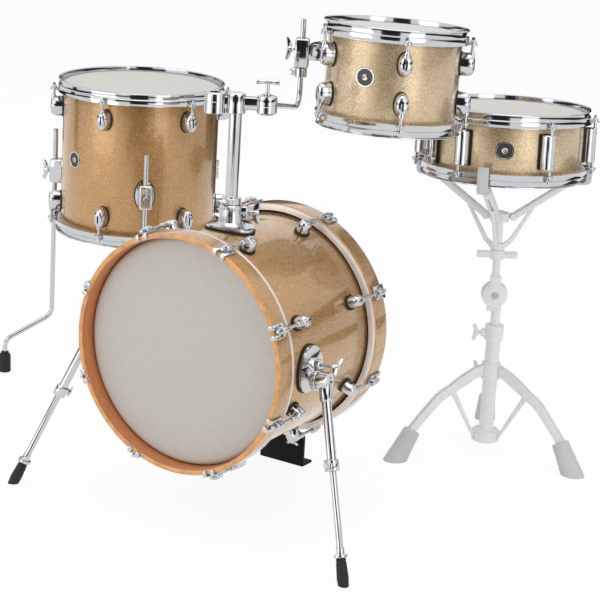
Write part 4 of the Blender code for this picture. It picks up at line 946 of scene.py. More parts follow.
def make_spurs(context):
    """Both spurs: bracket, tube, rod with its foot, and wing screws."""
    sizes = context.scene.bass_drum
    front = sizes.centre[1] - sizes.depth / 2 - sizes.hoop_reach
    for side, prefix in ((1, "right"), (-1, "left")):
        pivot = Vector((sizes.centre[0] + side * (sizes.radius + 0.046), front + 0.094, sizes.centre[2] - 0.0136))
        foot = Vector((sizes.centre[0] + side * 0.3653, front + 0.0043, 0.0))
        along = (foot - pivot).normalized()
        fold = fold_axis(side)
        middle = Vector((sizes.centre[0], pivot.y + 0.0187, sizes.centre[2] - 0.006))
        outward = middle + Vector((side * sizes.radius, 0.0, 0.0))
        shape = oval(0.07, 0.086, 56)
        wider = [(x * 1.05, y * 1.05) for x, y in shape]
        gasket = curved_plate(wider, outward, 0.0004, 0.0036, "black_rubber", sizes, 0.0008)
        shield = curved_plate(shape, outward, 0.0036, 0.0086, "chrome", sizes, 0.0018)
        hub = pivot - fold * (0.0105 + GAP)
        start = middle + Vector((side * (sizes.radius + 0.006), 0.0, 0.0))
        stem = hub - start
        cone = turned([(0.0, 0.0), (0.0235, 0.0), (0.0205, 0.003), (0.0178, 0.008), (0.0165, stem.length * 0.6),
                       (0.0165, stem.length - 0.002), (0.0, stem.length - 0.002)], "chrome", 40,
                      frame_along(start, stem, (0.0, 1.0, 0.0)))
        disc = turned([(0.0, -0.0112), (0.0165, -0.0112), (0.0182, -0.0096), (0.0185, -0.008), (0.0185, -0.0014),
                       (0.0176, 0.0), (0.0, 0.0)], "chrome", 44, frame_along(hub, fold, (0.0, 1.0, 0.0)))
        aside = Vector((0.0, 0.01, 0.0245))
        cheek_face = hub + aside - fold * (aside.dot(fold) + 0.0005)
        cheek = bar(cheek_face - fold * 0.0105, cheek_face, 0.01, "chrome", 28, 0.0012)
        bridge = bar(hub - fold * 0.006, cheek_face - fold * 0.006, 0.005, "chrome", 20, 0.0006)
        dress(f"{prefix}_spur_shield_and_casting", [gasket, shield, cone, disc, cheek, bridge], "kit_base",
              f"{prefix}_spur_bracket")
        clamp = pivot + along * 0.156
        knuckle = turned([(0.0, -0.0105), (0.015, -0.0105), (0.016, -0.0095), (0.016, 0.009), (0.0146, 0.0105),
                          (0.0088, 0.0105), (0.0076, 0.008), (0.0, 0.008)], "chrome", 40,
                         frame_along(pivot, fold, along))
        down = frame_along(pivot, along, fold)
        sleeve = turned([(0.0, 0.008), (0.0112, 0.008), (0.0112, 0.033), (0.01, 0.036), (0.0062, 0.036),
                         (0.0062, 0.02), (0.0, 0.02)], "chrome", 32, down)
        tube = turned(plain_wall(0.0062, 0.0084, 0.03, 0.156), "chrome", 32, down)
        collar = turned([(0.0063, -0.02), (0.01, -0.02), (0.0118, -0.0186), (0.0122, -0.016), (0.0122, -0.002),
                         (0.0112, 0.0), (0.0063, 0.0)], "chrome", 36, frame_along(clamp, along, fold))
        screw_way = along.cross(fold).normalized()
        ear_centre = clamp - along * 0.009 + screw_way * 0.0125
        ear = bar(ear_centre - screw_way * 0.006, ear_centre + screw_way * 0.0035, 0.0068, "chrome", 24, 0.0008)
        dress(f"{prefix}_spur_outer_tube", [knuckle, sleeve, tube, collar, ear], f"{prefix}_spur_tube")
        ring = pivot + along * 0.296
        inner = turned([(0.0, -0.188), (0.0059, -0.188), (0.0059, -0.012), (0.0074, -0.009), (0.0074, 0.001),
                        (0.0118, 0.0018), (0.0122, 0.003), (0.0122, 0.0064), (0.0112, 0.0075), (0.0, 0.0075)],
                       "chrome", 36, frame_along(ring, along, fold))
        reach = (foot - ring).length
        pad = turned([(0.0, 0.007), (0.0076, 0.007), (0.0084, 0.0086), (0.0088, 0.012), (0.008, 0.0136),
                      (0.009, 0.0152), (0.0103, reach * 0.72), (0.0103, reach * 0.8), (0.0092, reach + 0.002),
                      (0.0092, reach + 0.01), (0.0, reach + 0.01)],
                     "black_rubber", 36, frame_along(ring, along, fold))
        carve(pad, block((0.2, 0.2, 0.1), (foot.x, foot.y, -0.05), "black_rubber", 0.0))
        dress(f"{prefix}_spur_inner_rod", [inner, pad], f"{prefix}_spur_rod")
        bolt = wing_screw(cheek_face + fold * GAP, fold, (0.0, 0.8, 0.6), 0.0225, 0.012, 0.04)
        dress(f"{prefix}_spur_swept_bolt", [bolt], f"{prefix}_spur_wing_bolt")
        screw = wing_screw(ear_centre + screw_way * (0.0035 + GAP), screw_way, along, 0.003, 0.009, 0.02,
                           shaft_radius=0.0024)
        dress(f"{prefix}_spur_small_screw", [screw], f"{prefix}_spur_clamp_screw")


def make_lift(context):
    """Black pedal lift with its chromed half-disc clamp, wing nut and eye."""
    sizes = context.scene.bass_drum
    outer = hoop_radii(sizes)[1]
    face = sizes.centre[1] + sizes.depth / 2 + sizes.hoop_reach
    under = sizes.centre[2] - outer - GAP
    half, thick, rise, wide = 0.017, 0.005, 0.062, 0.1
    section = [(-half, 0.0), (half, 0.0), (half, thick), (-half + thick, thick), (-half + thick, rise),
               (face + 0.012, under + 0.004), (face + 0.012, under + 0.018), (face + GAP, under + 0.018),
               (face + GAP, under), (face - 0.034, under), (face - 0.034, under - 0.007), (face + 0.002, under - 0.007),
               (-half, rise - 0.006)]
    body = plate(section, -wide / 2, wide / 2, "black_paint", 0.0, 1, X_IS_WIDTH)
    room = bar((sizes.centre[0], face - 0.08, sizes.centre[2]), (sizes.centre[0], face + GAP, sizes.centre[2]),
               outer + GAP, "black_paint", 128, 0.0)
    carve(body, room)
    carve(body, block((0.05, 0.1, 0.1), (-0.043, face - 0.024, under + 0.03), "black_paint", 0.0))
    softened(body, 0.0012, 2, 40.0)
    ribs = [block((0.003, 0.03, 0.0014), (x, 0.0, thick), "black_rubber", 0.0004, 1) for x in
            [-0.042 + 0.0105 * index for index in range(9)]]
    slope = Vector((0.0, face + 0.002 + half, under - 0.007 - rise + 0.006)).normalized()
    outward = Vector((0.0, slope.z, -slope.y)).normalized()
    outward = outward if outward.y < 0 else -outward
    centre = Vector((0.03, -half, rise - 0.006)) + slope * 0.034
    arc = [tuple(polar(math.pi * (1 + index / 20), 0.023).xy) for index in range(21)]
    disc = plate(arc, 0.0, 0.01, "chrome", 0.0014, 2,
                 frame_along(centre + slope * 0.006 - outward * 0.003, outward, (1.0, 0.0, 0.0)))
    base = centre - slope * 0.03
    stud = bar(base - outward * 0.002, base + outward * 0.004, 0.0065, "chrome", 24)
    nut = wing_screw(base, outward, (1.0, 0.0, 0.3), 0.004, 0.01, 0.03)
    eye = block((0.012, 0.034, 0.012), (wide / 2 + 0.003, face + 0.024, under - 0.011), "black_paint", 0.0022)
    peg = turned([(0.0, 0.0), (0.0052, 0.0), (0.0052, 0.022), (0.004, 0.0235), (0.0052, 0.025), (0.0052, 0.0285),
                  (0.0042, 0.03), (0.0, 0.03)], "chrome", 24,
                 frame_along((wide / 2 + 0.003, face + 0.036, under - 0.011), (0.0, 1.0, 0.0), (1.0, 0.0, 0.0)))
    dress("pedal_lift_with_clamp", [body, disc, stud, nut, eye, peg] + ribs, "kit_base", "pedal_lift")


# Tom holder and rack tom


def rod_place(sizes):
    """Where the arm's upright rod stands in plan."""
    return Vector((sizes.top[0], sizes.top[1], 0.0)) + polar(ARM_WAY, 0.17)


def make_tom_holder(context):
    """Base plate and receiver, post, cast block, arm, and their screws."""
    bass, tom = context.scene.bass_drum, context.scene.rack_tom
    swing = math.radians(32.0)
    across = polar(swing, 1.0)
    front = bass.centre[1] - bass.depth / 2 - bass.hoop_reach
    base = Vector((bass.centre[0], front + 0.1514, bass.centre[2] + bass.radius))
    shape = [(y, x) for x, y in oval(0.092, 0.074, 60)]
    wider = [(x * 1.045, y * 1.045) for x, y in shape]
    gasket = curved_plate(wider, base, 0.0004, 0.004, "black_rubber", bass, 0.0008)
    shield = curved_plate(shape, base, 0.004, 0.0087, "chrome", bass, 0.0018)
    top = 0.0088
    receiver = turned([(0.0116, 0.006), (0.027, 0.007), (0.024, 0.01), (0.021, 0.013), (0.0202, 0.02),
                       (0.0196, 0.036), (0.0204, 0.0372), (0.0204, 0.042), (0.019, top + 0.035),
                       (0.0116, top + 0.035)], "chrome", 56, at(base))
    ear = block((0.02, 0.017, 0.0231), (0.0205, 0.0, top + 0.021), "chrome", 0.003, 3, at(base) @ about_z(swing))
    bolts = []
    for across_plate in (-0.026, 0.026):
        sunk = base + Vector((0.0, across_plate, 0.0))
        bolts.append(turned([(0.0, 0.0), (0.0046, 0.0), (0.0044, 0.0018), (0.003, 0.0028), (0.0, 0.003)], "chrome",
                            20, at(sunk + UP * 0.0084)))
    dress("tom_holder_receiver", [gasket, shield, receiver, ear] + bolts, "kit_base", "tom_holder_base")
    bolt_foot = base + across * (0.0305 + GAP) + UP * (top + 0.021)
    bolt = wing_screw(bolt_foot, across, UP, 0.004, 0.015, 0.04)
    dress("tom_holder_swept_bolt", [bolt], "tom_holder_wing_bolt")
    foot = base + UP * (top + 0.004 + GAP)
    collar_low, post_height = 0.031, 0.2215
    post = turned([(0.0, 0.0), (0.0106, 0.0), (POST_RADIUS, 0.0008), (POST_RADIUS, post_height - 0.001),
                   (0.0102, post_height), (0.0, post_height)], "chrome", 48, at(foot))
    collar = turned(soft_wall(POST_RADIUS, 0.0172, 0.0, 0.012, 0.0008, 0.001), "chrome", 48,
                    at(foot + UP * collar_low))
    lock = foot + UP * (collar_low + 0.006) + Vector((0.0, -0.0185, 0.0))
    cheek = block((0.01, 0.012, 0.01), lock, "chrome", 0.0014)
    key = bar(lock, lock + Vector((0.0065, 0.0, 0.0)), 0.0032, "chrome", 16)
    dress("tom_holder_chrome_post", [post, collar, cheek, key], "tom_holder_post")
    make_holder_block(foot + UP * post_height, across, swing, tom)


def make_holder_block(post_top, across, swing, tom):
    """Cast block with an open clamp, a cap over the post and the ball clamp, with its T screw and the bent arm."""
    low = post_top.z - 0.027
    high = low + 0.036
    centre = Vector((post_top.x, post_top.y, 0.0))
    bore = POST_RADIUS + GAP
    cap = turned([(bore, 0.0), (0.0162, 0.0), (0.017, 0.001), (0.017, 0.03), (0.0158, 0.0345), (0.014, 0.0358),
                  (0.0, 0.036), (0.0, 0.0275), (bore, 0.0275)], "chrome", 48, at(centre + UP * low))
    left = centre - across * 0.037
    clamp = turned([(0.0095, -0.002), (0.018, -0.002), (0.019, -0.0008), (0.019, 0.0335), (0.0178, 0.035),
                    (0.0095, 0.035)], "chrome", 48, at(left + UP * low))
    slot = block((0.018, 0.003, 0.05), (-0.015, 0.0, 0.016), "chrome", 0.0, 1, at(left + UP * low) @ about_z(swing))
    carve(clamp, slot)
    web, link = [block((wide, 0.016, 0.0223), (0.0, 0.0, 0.0), "chrome", 0.0025, 3,
                       at(centre + across * reach + UP * (low + 0.018)) @ about_z(swing))
                 for wide, reach in ((0.036, -0.017), (0.03, 0.026))]
    for solid, hole, size in ((web, left, 0.01), (web, centre, bore + 0.001), (link, centre, bore + 0.001)):
        carve(solid, bar(hole + UP * (low - 0.01), hole + UP * (high + 0.01), size, "chrome", 32, 0.0))
    ball = centre + across * 0.054 + UP * (low + 0.017)
    housing = turned([(0.0, -0.017), (0.012, -0.017), (0.016, -0.0158), (0.0182, -0.013), (0.0182, -0.002),
                      (0.0174, -0.0012), (0.0174, 0.0008), (0.0182, 0.0016), (0.0182, 0.011), (0.0168, 0.015),
                      (0.012, 0.0165), (0.0, 0.0165)], "chrome", 48, at(ball))
    place = rod_place(tom)
    corner = Vector((place.x, place.y, 0.722))
    exit_way = (corner - ball).normalized()
    pocket = turned([(0.0, -0.0127), (0.0064, -0.011), (0.011, -0.0064), (0.0127, 0.0), (0.011, 0.0064),
                     (0.0075, 0.0102), (0.009, 0.015), (0.016, 0.03), (0.0, 0.03)], "chrome", 32,
                    frame_along(ball, exit_way, UP))
    carve(housing, pocket)
    carve(link, bar(ball - UP * 0.02, ball + UP * 0.02, 0.0135, "chrome", 32, 0.0))
    aside = swing + math.pi / 2
    bolt = bar(left + polar(aside, -0.02, low + 0.016), left + polar(aside, -0.0175, low + 0.016), 0.0045, "chrome",
               20, 0.0008)
    dress("tom_holder_cast_block", [cap, clamp, web, link, housing, bolt], "tom_holder_block")
    screw_foot = ball + UP * (0.0165 + GAP)
    top = screw_foot + UP * 0.0235
    stem = bar(screw_foot, top, 0.0034, "chrome", 20, 0.0004)
    nut = turned([(0.0034, 0.0), (0.0062, 0.0), (0.0062, 0.003), (0.0034, 0.004)], "chrome", 24, at(screw_foot))
    wing = turned([(0.0, -0.0205), (0.0036, -0.0205), (0.0046, -0.0192), (0.0046, -0.012), (0.0036, -0.01),
                   (0.0036, 0.01), (0.0046, 0.012), (0.0046, 0.0192), (0.0036, 0.0205), (0.0, 0.0205)], "chrome", 24,
                  frame_along(top, across, UP))
    dress("tom_holder_t_handle", [stem, nut, wing], "tom_holder_t_screw")
    sphere = turned([(0.0125 * math.sin(math.pi * index / 16), -0.0125 * math.cos(math.pi * index / 16))
                     for index in range(17)], "chrome", 32, at(ball))
    rod = pipe(rounded([ball, corner, Vector((place.x, place.y, 0.886))], 0.03), ARM_RADIUS, "chrome", 5)
    dress("tom_bent_arm", [sphere, rod], "tom_arm")


def make_tom_bracket(context):
    """Memory clamp, bracket box with its band around two lugs, and the wing bolt."""
    sizes, fittings = context.scene.rack_tom, context.scene.drum_fittings
    place = rod_place(sizes)
    low = place + UP * 0.779
    bore = ARM_RADIUS + GAP
    ring = turned(soft_wall(bore, 0.011, 0.0, 0.017, 0.001, 0.001), "chrome", 40, at(low))
    cheek = block((0.012, 0.012, 0.0136), low + UP * 0.0085 + Vector((-0.012, -0.004, 0.0)), "chrome", 0.0018)
    carve(cheek, bar(low - UP * 0.01, low + UP * 0.04, 0.0105, "chrome", 24, 0.0))
    key = bar(low + Vector((-0.013, -0.0098, 0.0085)), low + Vector((-0.013, -0.0145, 0.0085)), 0.003, "chrome", 16)
    dress("tom_memory_ring", [ring, cheek, key], "tom_memory_clamp")
    base = low + UP * (0.017 + GAP)
    here = at(base) @ about_z(ARM_WAY)
    height = 0.054
    body = block((0.026, 0.024, height), (0.0, 0.0, height / 2), "chrome", 0.0034, 3, here)
    neck = block((0.03, 0.016, 0.03), (-0.018, 0.0, height * 0.55), "chrome", 0.002, 2, here)
    for solid in (body, neck):
        carve(solid, bar(place + UP * 0.7, place + UP * 1.0, bore, "chrome", 24, 0.0))
    inner = math.hypot(sizes.radius + fittings.lug_reach, fittings.lug_width * 0.36) + GAP
    local = tuned_frame(sizes)
    level = sizes.depth / 2 - fittings.lug_inset
    band = turned(soft_wall(inner, inner + 0.004, -0.01, 0.01, 0.0006, 0.0006), "chrome", 128)
    middle = sizes.first_lug - math.tau / sizes.lugs * 1.5
    keep = math.pi / sizes.lugs + math.radians(4.0)
    wedge = [(0.0, 0.0)] + [(0.4 * math.cos(middle + keep * share / 4), 0.4 * math.sin(middle + keep * share / 4))
                            for share in range(-4, 5)]
    carve(band, plate(wedge, -0.05, 0.05, "chrome"), "INTERSECT")
    parts = [body, neck, placed(band, local @ shift(0.0, 0.0, level))]
    for side in (-1, 1):
        angle = middle + side * math.pi / sizes.lugs
        lug_here = local @ about_z(angle) @ shift(inner, 0.0, level)
        parts.append(turned([(0.0, -0.003), (0.01, -0.003), (0.01, 0.0046), (0.009, 0.0056), (0.0, 0.0056)],
                            "black_rubber", 28, lug_here @ Z_TO_X))
        parts.append(turned([(0.0, 0.005), (0.0052, 0.005), (0.0052, 0.0082), (0.0042, 0.0092), (0.0, 0.0094)],
                            "chrome", 24, lug_here @ Z_TO_X))
    for level_share in (0.14, 0.86):
        spot = here @ Vector((0.0, -0.0122, height * level_share))
        parts.append(turned([(0.0, -0.001), (0.0036, -0.001), (0.0034, 0.0012), (0.0, 0.0018)], "chrome", 20,
                            frame_along(spot, (here.to_3x3() @ Vector((0.0, -1.0, 0.0))), UP)))
    dress("tom_bracket_with_band", parts, "rack_tom", "tom_bracket")
    outward = polar(ARM_WAY, 1.0)
    foot = base + outward * (0.013 + GAP) + UP * height * 0.62
    bolt = wing_screw(foot, outward, UP, 0.004, 0.011, 0.044)
    dress("tom_bracket_swept_bolt", [bolt], "tom_bracket_wing_bolt")


def make_rack_tom(context):
    """Rack tom with ten oval lugs and a plain badge."""
    sizes, fittings = context.scene.rack_tom, context.scene.drum_fittings

    def add_badge(half):
        return [round_badge(sizes.radius, math.radians(-83.7), half - 0.08)]

    dress_tuned_drum("rack_tom", "rack_tom", sizes, fittings, "pale_sparkle", add_badge)


def make_floor_tom(context):
    """Floor tom with twelve oval lugs, three leg brackets, legs and wing bolts."""
    sizes, fittings = context.scene.floor_tom, context.scene.drum_fittings
    legs = {"front": (-48.75, -48.75), "left": (-157.0, -146.0), "rear": (71.25, 71.25)}
    rod = sizes.radius + HOOP_SKIRT + sizes.leg_radius + 0.0012
    depth = rod - sizes.radius + sizes.leg_radius + 0.0045
    level = sizes.bracket_z - (sizes.top[2] - sizes.depth / 2)

    def add_brackets(half):
        parts = [round_badge(sizes.radius, math.radians(-108.1), half - 0.1479)]
        for angle, _ in legs.values():
            spin = about_z(math.radians(angle))
            gasket = plate(oval(0.066, 0.044, 44), -0.004, 0.0012, "black_rubber", 0.0006, 1)
            shield = plate(oval(0.062, 0.04, 44), 0.001, 0.0046, "chrome", 0.0012, 2)
            casting = block((0.052, 0.028, depth - 0.001), (0.0, 0.0, (depth - 0.001) / 2 + 0.001), "chrome", 0.0052, 4)
            lay = spin @ shift(sizes.radius, 0.0, level) @ Z_TO_X
            nose = turned([(0.0, depth - 0.006), (0.0105, depth - 0.006), (0.01, depth - 0.0006), (0.0088, depth),
                           (0.0, depth)], "chrome", 28)
            for solid in (casting, nose):
                carve(solid, bar((-0.1, 0.0, rod - sizes.radius), (0.1, 0.0, rod - sizes.radius),
                                 sizes.leg_radius + GAP, "chrome", 24, 0.0))
            parts += [placed(part, lay) for part in (gasket, shield, casting, nose)]
        return parts

    dress_tuned_drum("floor_tom", "kit_base", sizes, fittings, "gold_sparkle", add_brackets)
    centre = Vector((sizes.top[0], sizes.top[1], 0.0))
    for place, (angle, foot_angle) in legs.items():
        swing = math.radians(angle)
        top = centre + polar(swing, rod)
        foot = centre + polar(math.radians(foot_angle), 0.28)
        path = rounded([top + UP * 0.54, top + UP * 0.125, foot + UP * 0.072, foot + UP * 0.03], 0.028, 10)
        leg = pipe(path, sizes.leg_radius, "chrome", 5)
        pad = turned([(0.0, 0.0), (0.0125, 0.0), (0.0135, 0.0012), (0.0135, 0.006), (0.0128, 0.0068), (0.0134, 0.008),
                      (0.0126, 0.036), (0.0118, 0.04), (0.0086, 0.041), (0.008, 0.046), (0.0062, 0.047),
                      (0.0, 0.047)], "black_rubber", 36, at(foot))
        proud = sizes.leg_radius + 0.00025
        knurl = turned(plain_wall(0.0, proud, 0.0, 0.0012), "chrome", 24)
        rings = copies(knurl, [at(top + UP * (0.505 - 0.006 * index)) for index in range(5)])
        dress(f"floor_tom_{place}_bent_leg", [leg, pad] + rings, f"floor_tom_{place}_leg")
        outward = polar(swing, 1.0)
        bolt_foot = centre + polar(swing, sizes.radius + depth + GAP) + UP * sizes.bracket_z
        bolt = wing_screw(bolt_foot, outward, UP, 0.003, 0.012, 0.044)
        dress(f"floor_tom_{place}_swept_bolt", [bolt], f"floor_tom_{place}_wing_bolt")


# Snare drum and stand


def make_snare(context):
    """Snare drum with bridge lugs, badge, strainer, throw-off lever and wires."""
    sizes, fittings = context.scene.snare_drum, context.scene.drum_fittings

    def add_badge(half):
        return [round_badge(sizes.radius, math.radians(-63.6), 0.0)]

    local = dress_tuned_drum("snare", "snare_and_basket", sizes, fittings, "pale_sparkle",
                             add_badge, 0.066)
    here = local @ about_z(sizes.strainer)
    reach = sizes.radius + GAP
    gasket = block((0.0026, 0.032, 0.06), (reach + 0.0011, 0.0, -0.012), "black_rubber", 0.0008, 1)
    body = block((0.016, 0.03, 0.046), (reach + 0.0112, 0.0, -0.006), "chrome", 0.004, 4)
    rail = block((0.012, 0.024, 0.02), (reach + 0.0075, 0.0, -0.034), "chrome", 0.0022, 3)
    knob = turned([(0.0, 0.014), (0.006, 0.014), (0.0068, 0.0152), (0.0068, 0.0285), (0.006, 0.03),
                   (0.0, 0.03)], "chrome", 12, shift(reach + 0.0125, 0.0, 0.0))
    clamps = [turned([(0.0, 0.0), (0.003, 0.0), (0.0028, 0.0014), (0.0, 0.002)], "chrome", 16,
                     shift(reach + 0.0134, across, -0.036) @ Z_TO_X)
              for across in (-0.007, 0.007)]
    strainer = placed(joined([gasket, body, rail, knob] + clamps), here)
    dress("snare_strainer_casting", [strainer], "snare_and_basket", "snare_strainer")
    pivot = Vector((reach + 0.0192 + GAP + 0.0022, 0.0, -0.02))
    arm = plate([(-0.0062, -0.002), (-0.0056, 0.03), (-0.0066, 0.036), (-0.006, 0.041), (0.006, 0.041),
                 (0.0066, 0.036), (0.0056, 0.03), (0.0062, -0.002), (0.004, -0.0046), (-0.004, -0.0046)],
                -0.0019, 0.0019, "chrome", 0.0012, 2, X_IS_WIDTH)
    disc = turned([(0.0, -0.002), (0.0078, -0.002), (0.0078, 0.003), (0.0066, 0.0042), (0.0, 0.0042)], "chrome", 32,
                  Z_TO_X)
    tip = block((0.008, 0.0165, 0.0115), (0.002, 0.0, 0.038), "chrome", 0.0026, 3)
    lever = placed(joined([arm, disc, tip]), here @ at(pivot))
    dress("snare_release_lever", [lever], "snare_throw_off_lever")
    make_snare_wires(sizes, local)


def make_snare_wires(sizes, local):
    """Twenty wires between two end plates under the bottom head, with the straps to the strainer and the far side."""
    low = -sizes.depth / 2 - 0.0014
    run = about_z(sizes.strainer)
    wire = turned(plain_wall(0.0, 0.0006, -0.118, 0.118), "chrome", 5, Z_TO_X)
    parts = copies(wire, [run @ shift(0.0, -0.019 + 0.002 * index, low - 0.0012) for index in range(20)])
    for side in (-1, 1):
        parts.append(block((0.016, 0.044, 0.0012), (side * 0.12, 0.0, low - 0.0008), "chrome", 0.0004, 1, run))
        parts.append(block((0.026, 0.014, 0.0006), (side * 0.138, 0.0, low - 0.0006), "black_paint", 0.0002, 1, run))
    wires = placed(joined(parts), local)
    wires.name = wires.data.name = "snare_wire_strands"
    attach(wires, "snare_and_basket")


def make_stand_base(context):
    """Lower tube with collars, three braced legs with rubber feet, and the height wing screw."""
    sizes = context.scene.snare_stand
    foot = Vector(sizes.place)
    ear_way = polar(math.radians(-150.0), 1.0)
    ear_z = sizes.tube_top - 0.012
    radius, bore = sizes.tube_radius, sizes.upper_radius + GAP
    tube = turned([(0.0, 0.024), (radius, 0.024), (radius, sizes.tube_top), (bore, sizes.tube_top), (bore, 0.05),
                   (0.0, 0.05)], "stand_steel", 48, at(foot))
    leg_collar = turned(soft_wall(radius - 0.001, COLLAR_RADIUS, -0.017, 0.017, 0.0013, 0.0012), "stand_steel", 48,
                        at(foot + UP * sizes.collar_z))
    low_ring = turned([(radius - 0.001, 0.024), (0.0268, 0.024), (LOW_RING_RADIUS, 0.0252), (LOW_RING_RADIUS, 0.044),
                       (0.0262, 0.046), (radius - 0.001, 0.047)], "stand_steel", 48, at(foot))
    clamp = turned([(bore, -0.026), (0.0178, -0.026), (0.019, -0.0245), (0.019, 0.0045), (0.0178, 0.006),
                    (bore, 0.006)], "stand_steel", 48, at(foot + UP * sizes.tube_top))
    ear_place = foot + UP * ear_z
    ear = bar(ear_place + ear_way * 0.012, ear_place + ear_way * 0.0265, 0.0085, "stand_steel", 28, 0.001)
    lock_way = math.radians(-175.0)
    lock_start, lock_end, nut_foot = [foot + polar(lock_way, reach, sizes.collar_z) for reach in (0.018, 0.0275, 0.024)]
    lock = bar(lock_start, lock_end, 0.0048, "stand_steel", 20)
    wing_nut = wing_screw(nut_foot, polar(lock_way, 1.0), UP, 0.003, 0.01, 0.03, "stand_steel")
    carve(ear, bar(foot + UP * 0.051, foot + UP * 0.3, bore, "stand_steel", 32, 0.0))
    dress("stand_lower_tube", [tube, leg_collar, low_ring, clamp, ear, lock, wing_nut], "kit_base", "stand_tube")
    wing = wing_screw(ear_place + ear_way * (0.0265 + GAP), ear_way, UP, 0.003, 0.012, 0.036, "stand_steel")
    dress("stand_height_swept_screw", [wing], "stand_height_wing_screw")
    angles = {"left": -123.0, "right": -3.0, "rear": 117.0}
    legs = copies(stand_leg(sizes), [at(foot) @ about_z(math.radians(angle)) for angle in angles.values()])
    for place, leg in zip(angles, legs):
        dress(f"stand_{place}_double_leg", [leg], "kit_base", f"stand_{place}_leg")


def stand_leg(sizes):
    """Leg of two arched strips with rivets, its brace and its ribbed rubber foot, at angle zero."""
    start = COLLAR_RADIUS + GAP
    top = [(start, sizes.collar_z + 0.014), (0.04, 0.179), (0.058, 0.17), (0.076, 0.159), (0.094, 0.146),
           (0.11, 0.138), (0.124, 0.127), (0.146, 0.103), (0.168, 0.078), (0.192, 0.048)]
    low = [(0.18, 0.038), (0.155, 0.068), (0.134, 0.091), (0.116, 0.11), (0.102, 0.121), (0.088, 0.129),
           (0.07, 0.139), (0.052, 0.149), (0.036, 0.158), (start, sizes.collar_z - 0.008)]
    parts = []
    for side in (-1, 1):
        first, second = sorted((side * 0.0024, side * 0.006))
        parts.append(plate(top + low, first, second, "stand_steel", 0.0009, 2, UPRIGHT))
    end = LOW_RING_RADIUS + GAP
    brace = [(end, 0.028), (end, 0.04), (0.08, 0.138), (0.085, 0.14), (0.091, 0.136), (0.09, 0.133)]
    parts.append(plate(brace, -0.0022, 0.0022, "stand_steel", 0.0008, 2, UPRIGHT))
    for reach, height in ((0.027, 0.173), (0.085, 0.137), (0.112, 0.124), (0.178, 0.056)):
        parts.append(turned(soft_wall(0.0, 0.0042, -0.0072, 0.0072, 0.0012, 0.0012), "stand_steel", 20,
                            shift(reach, 0.0, height) @ UPRIGHT))
    line = Vector((sizes.leg_spread + 0.01 - 0.17, 0.0, -0.072))
    run = line.length
    pad = turned([(0.0, 0.0), (0.015, 0.0), (0.0168, 0.0018), (0.0174, 0.006), (0.0182, run * 0.25),
                  (0.0176, run * 0.28), (0.0188, run * 0.32), (0.0196, run * 0.5), (0.019, run * 0.53),
                  (0.0202, run * 0.57), (0.0216, run * 0.8), (0.0224, run), (0.0, run)], "stand_rubber", 40,
                 frame_along((0.17, 0.0, 0.06), line, (0.0, 1.0, 0.0)))
    carve(pad, block((1.0, 1.0, 0.1), (0.0, 0.0, -0.05), "stand_rubber", 0.0))
    return joined(parts + [pad])


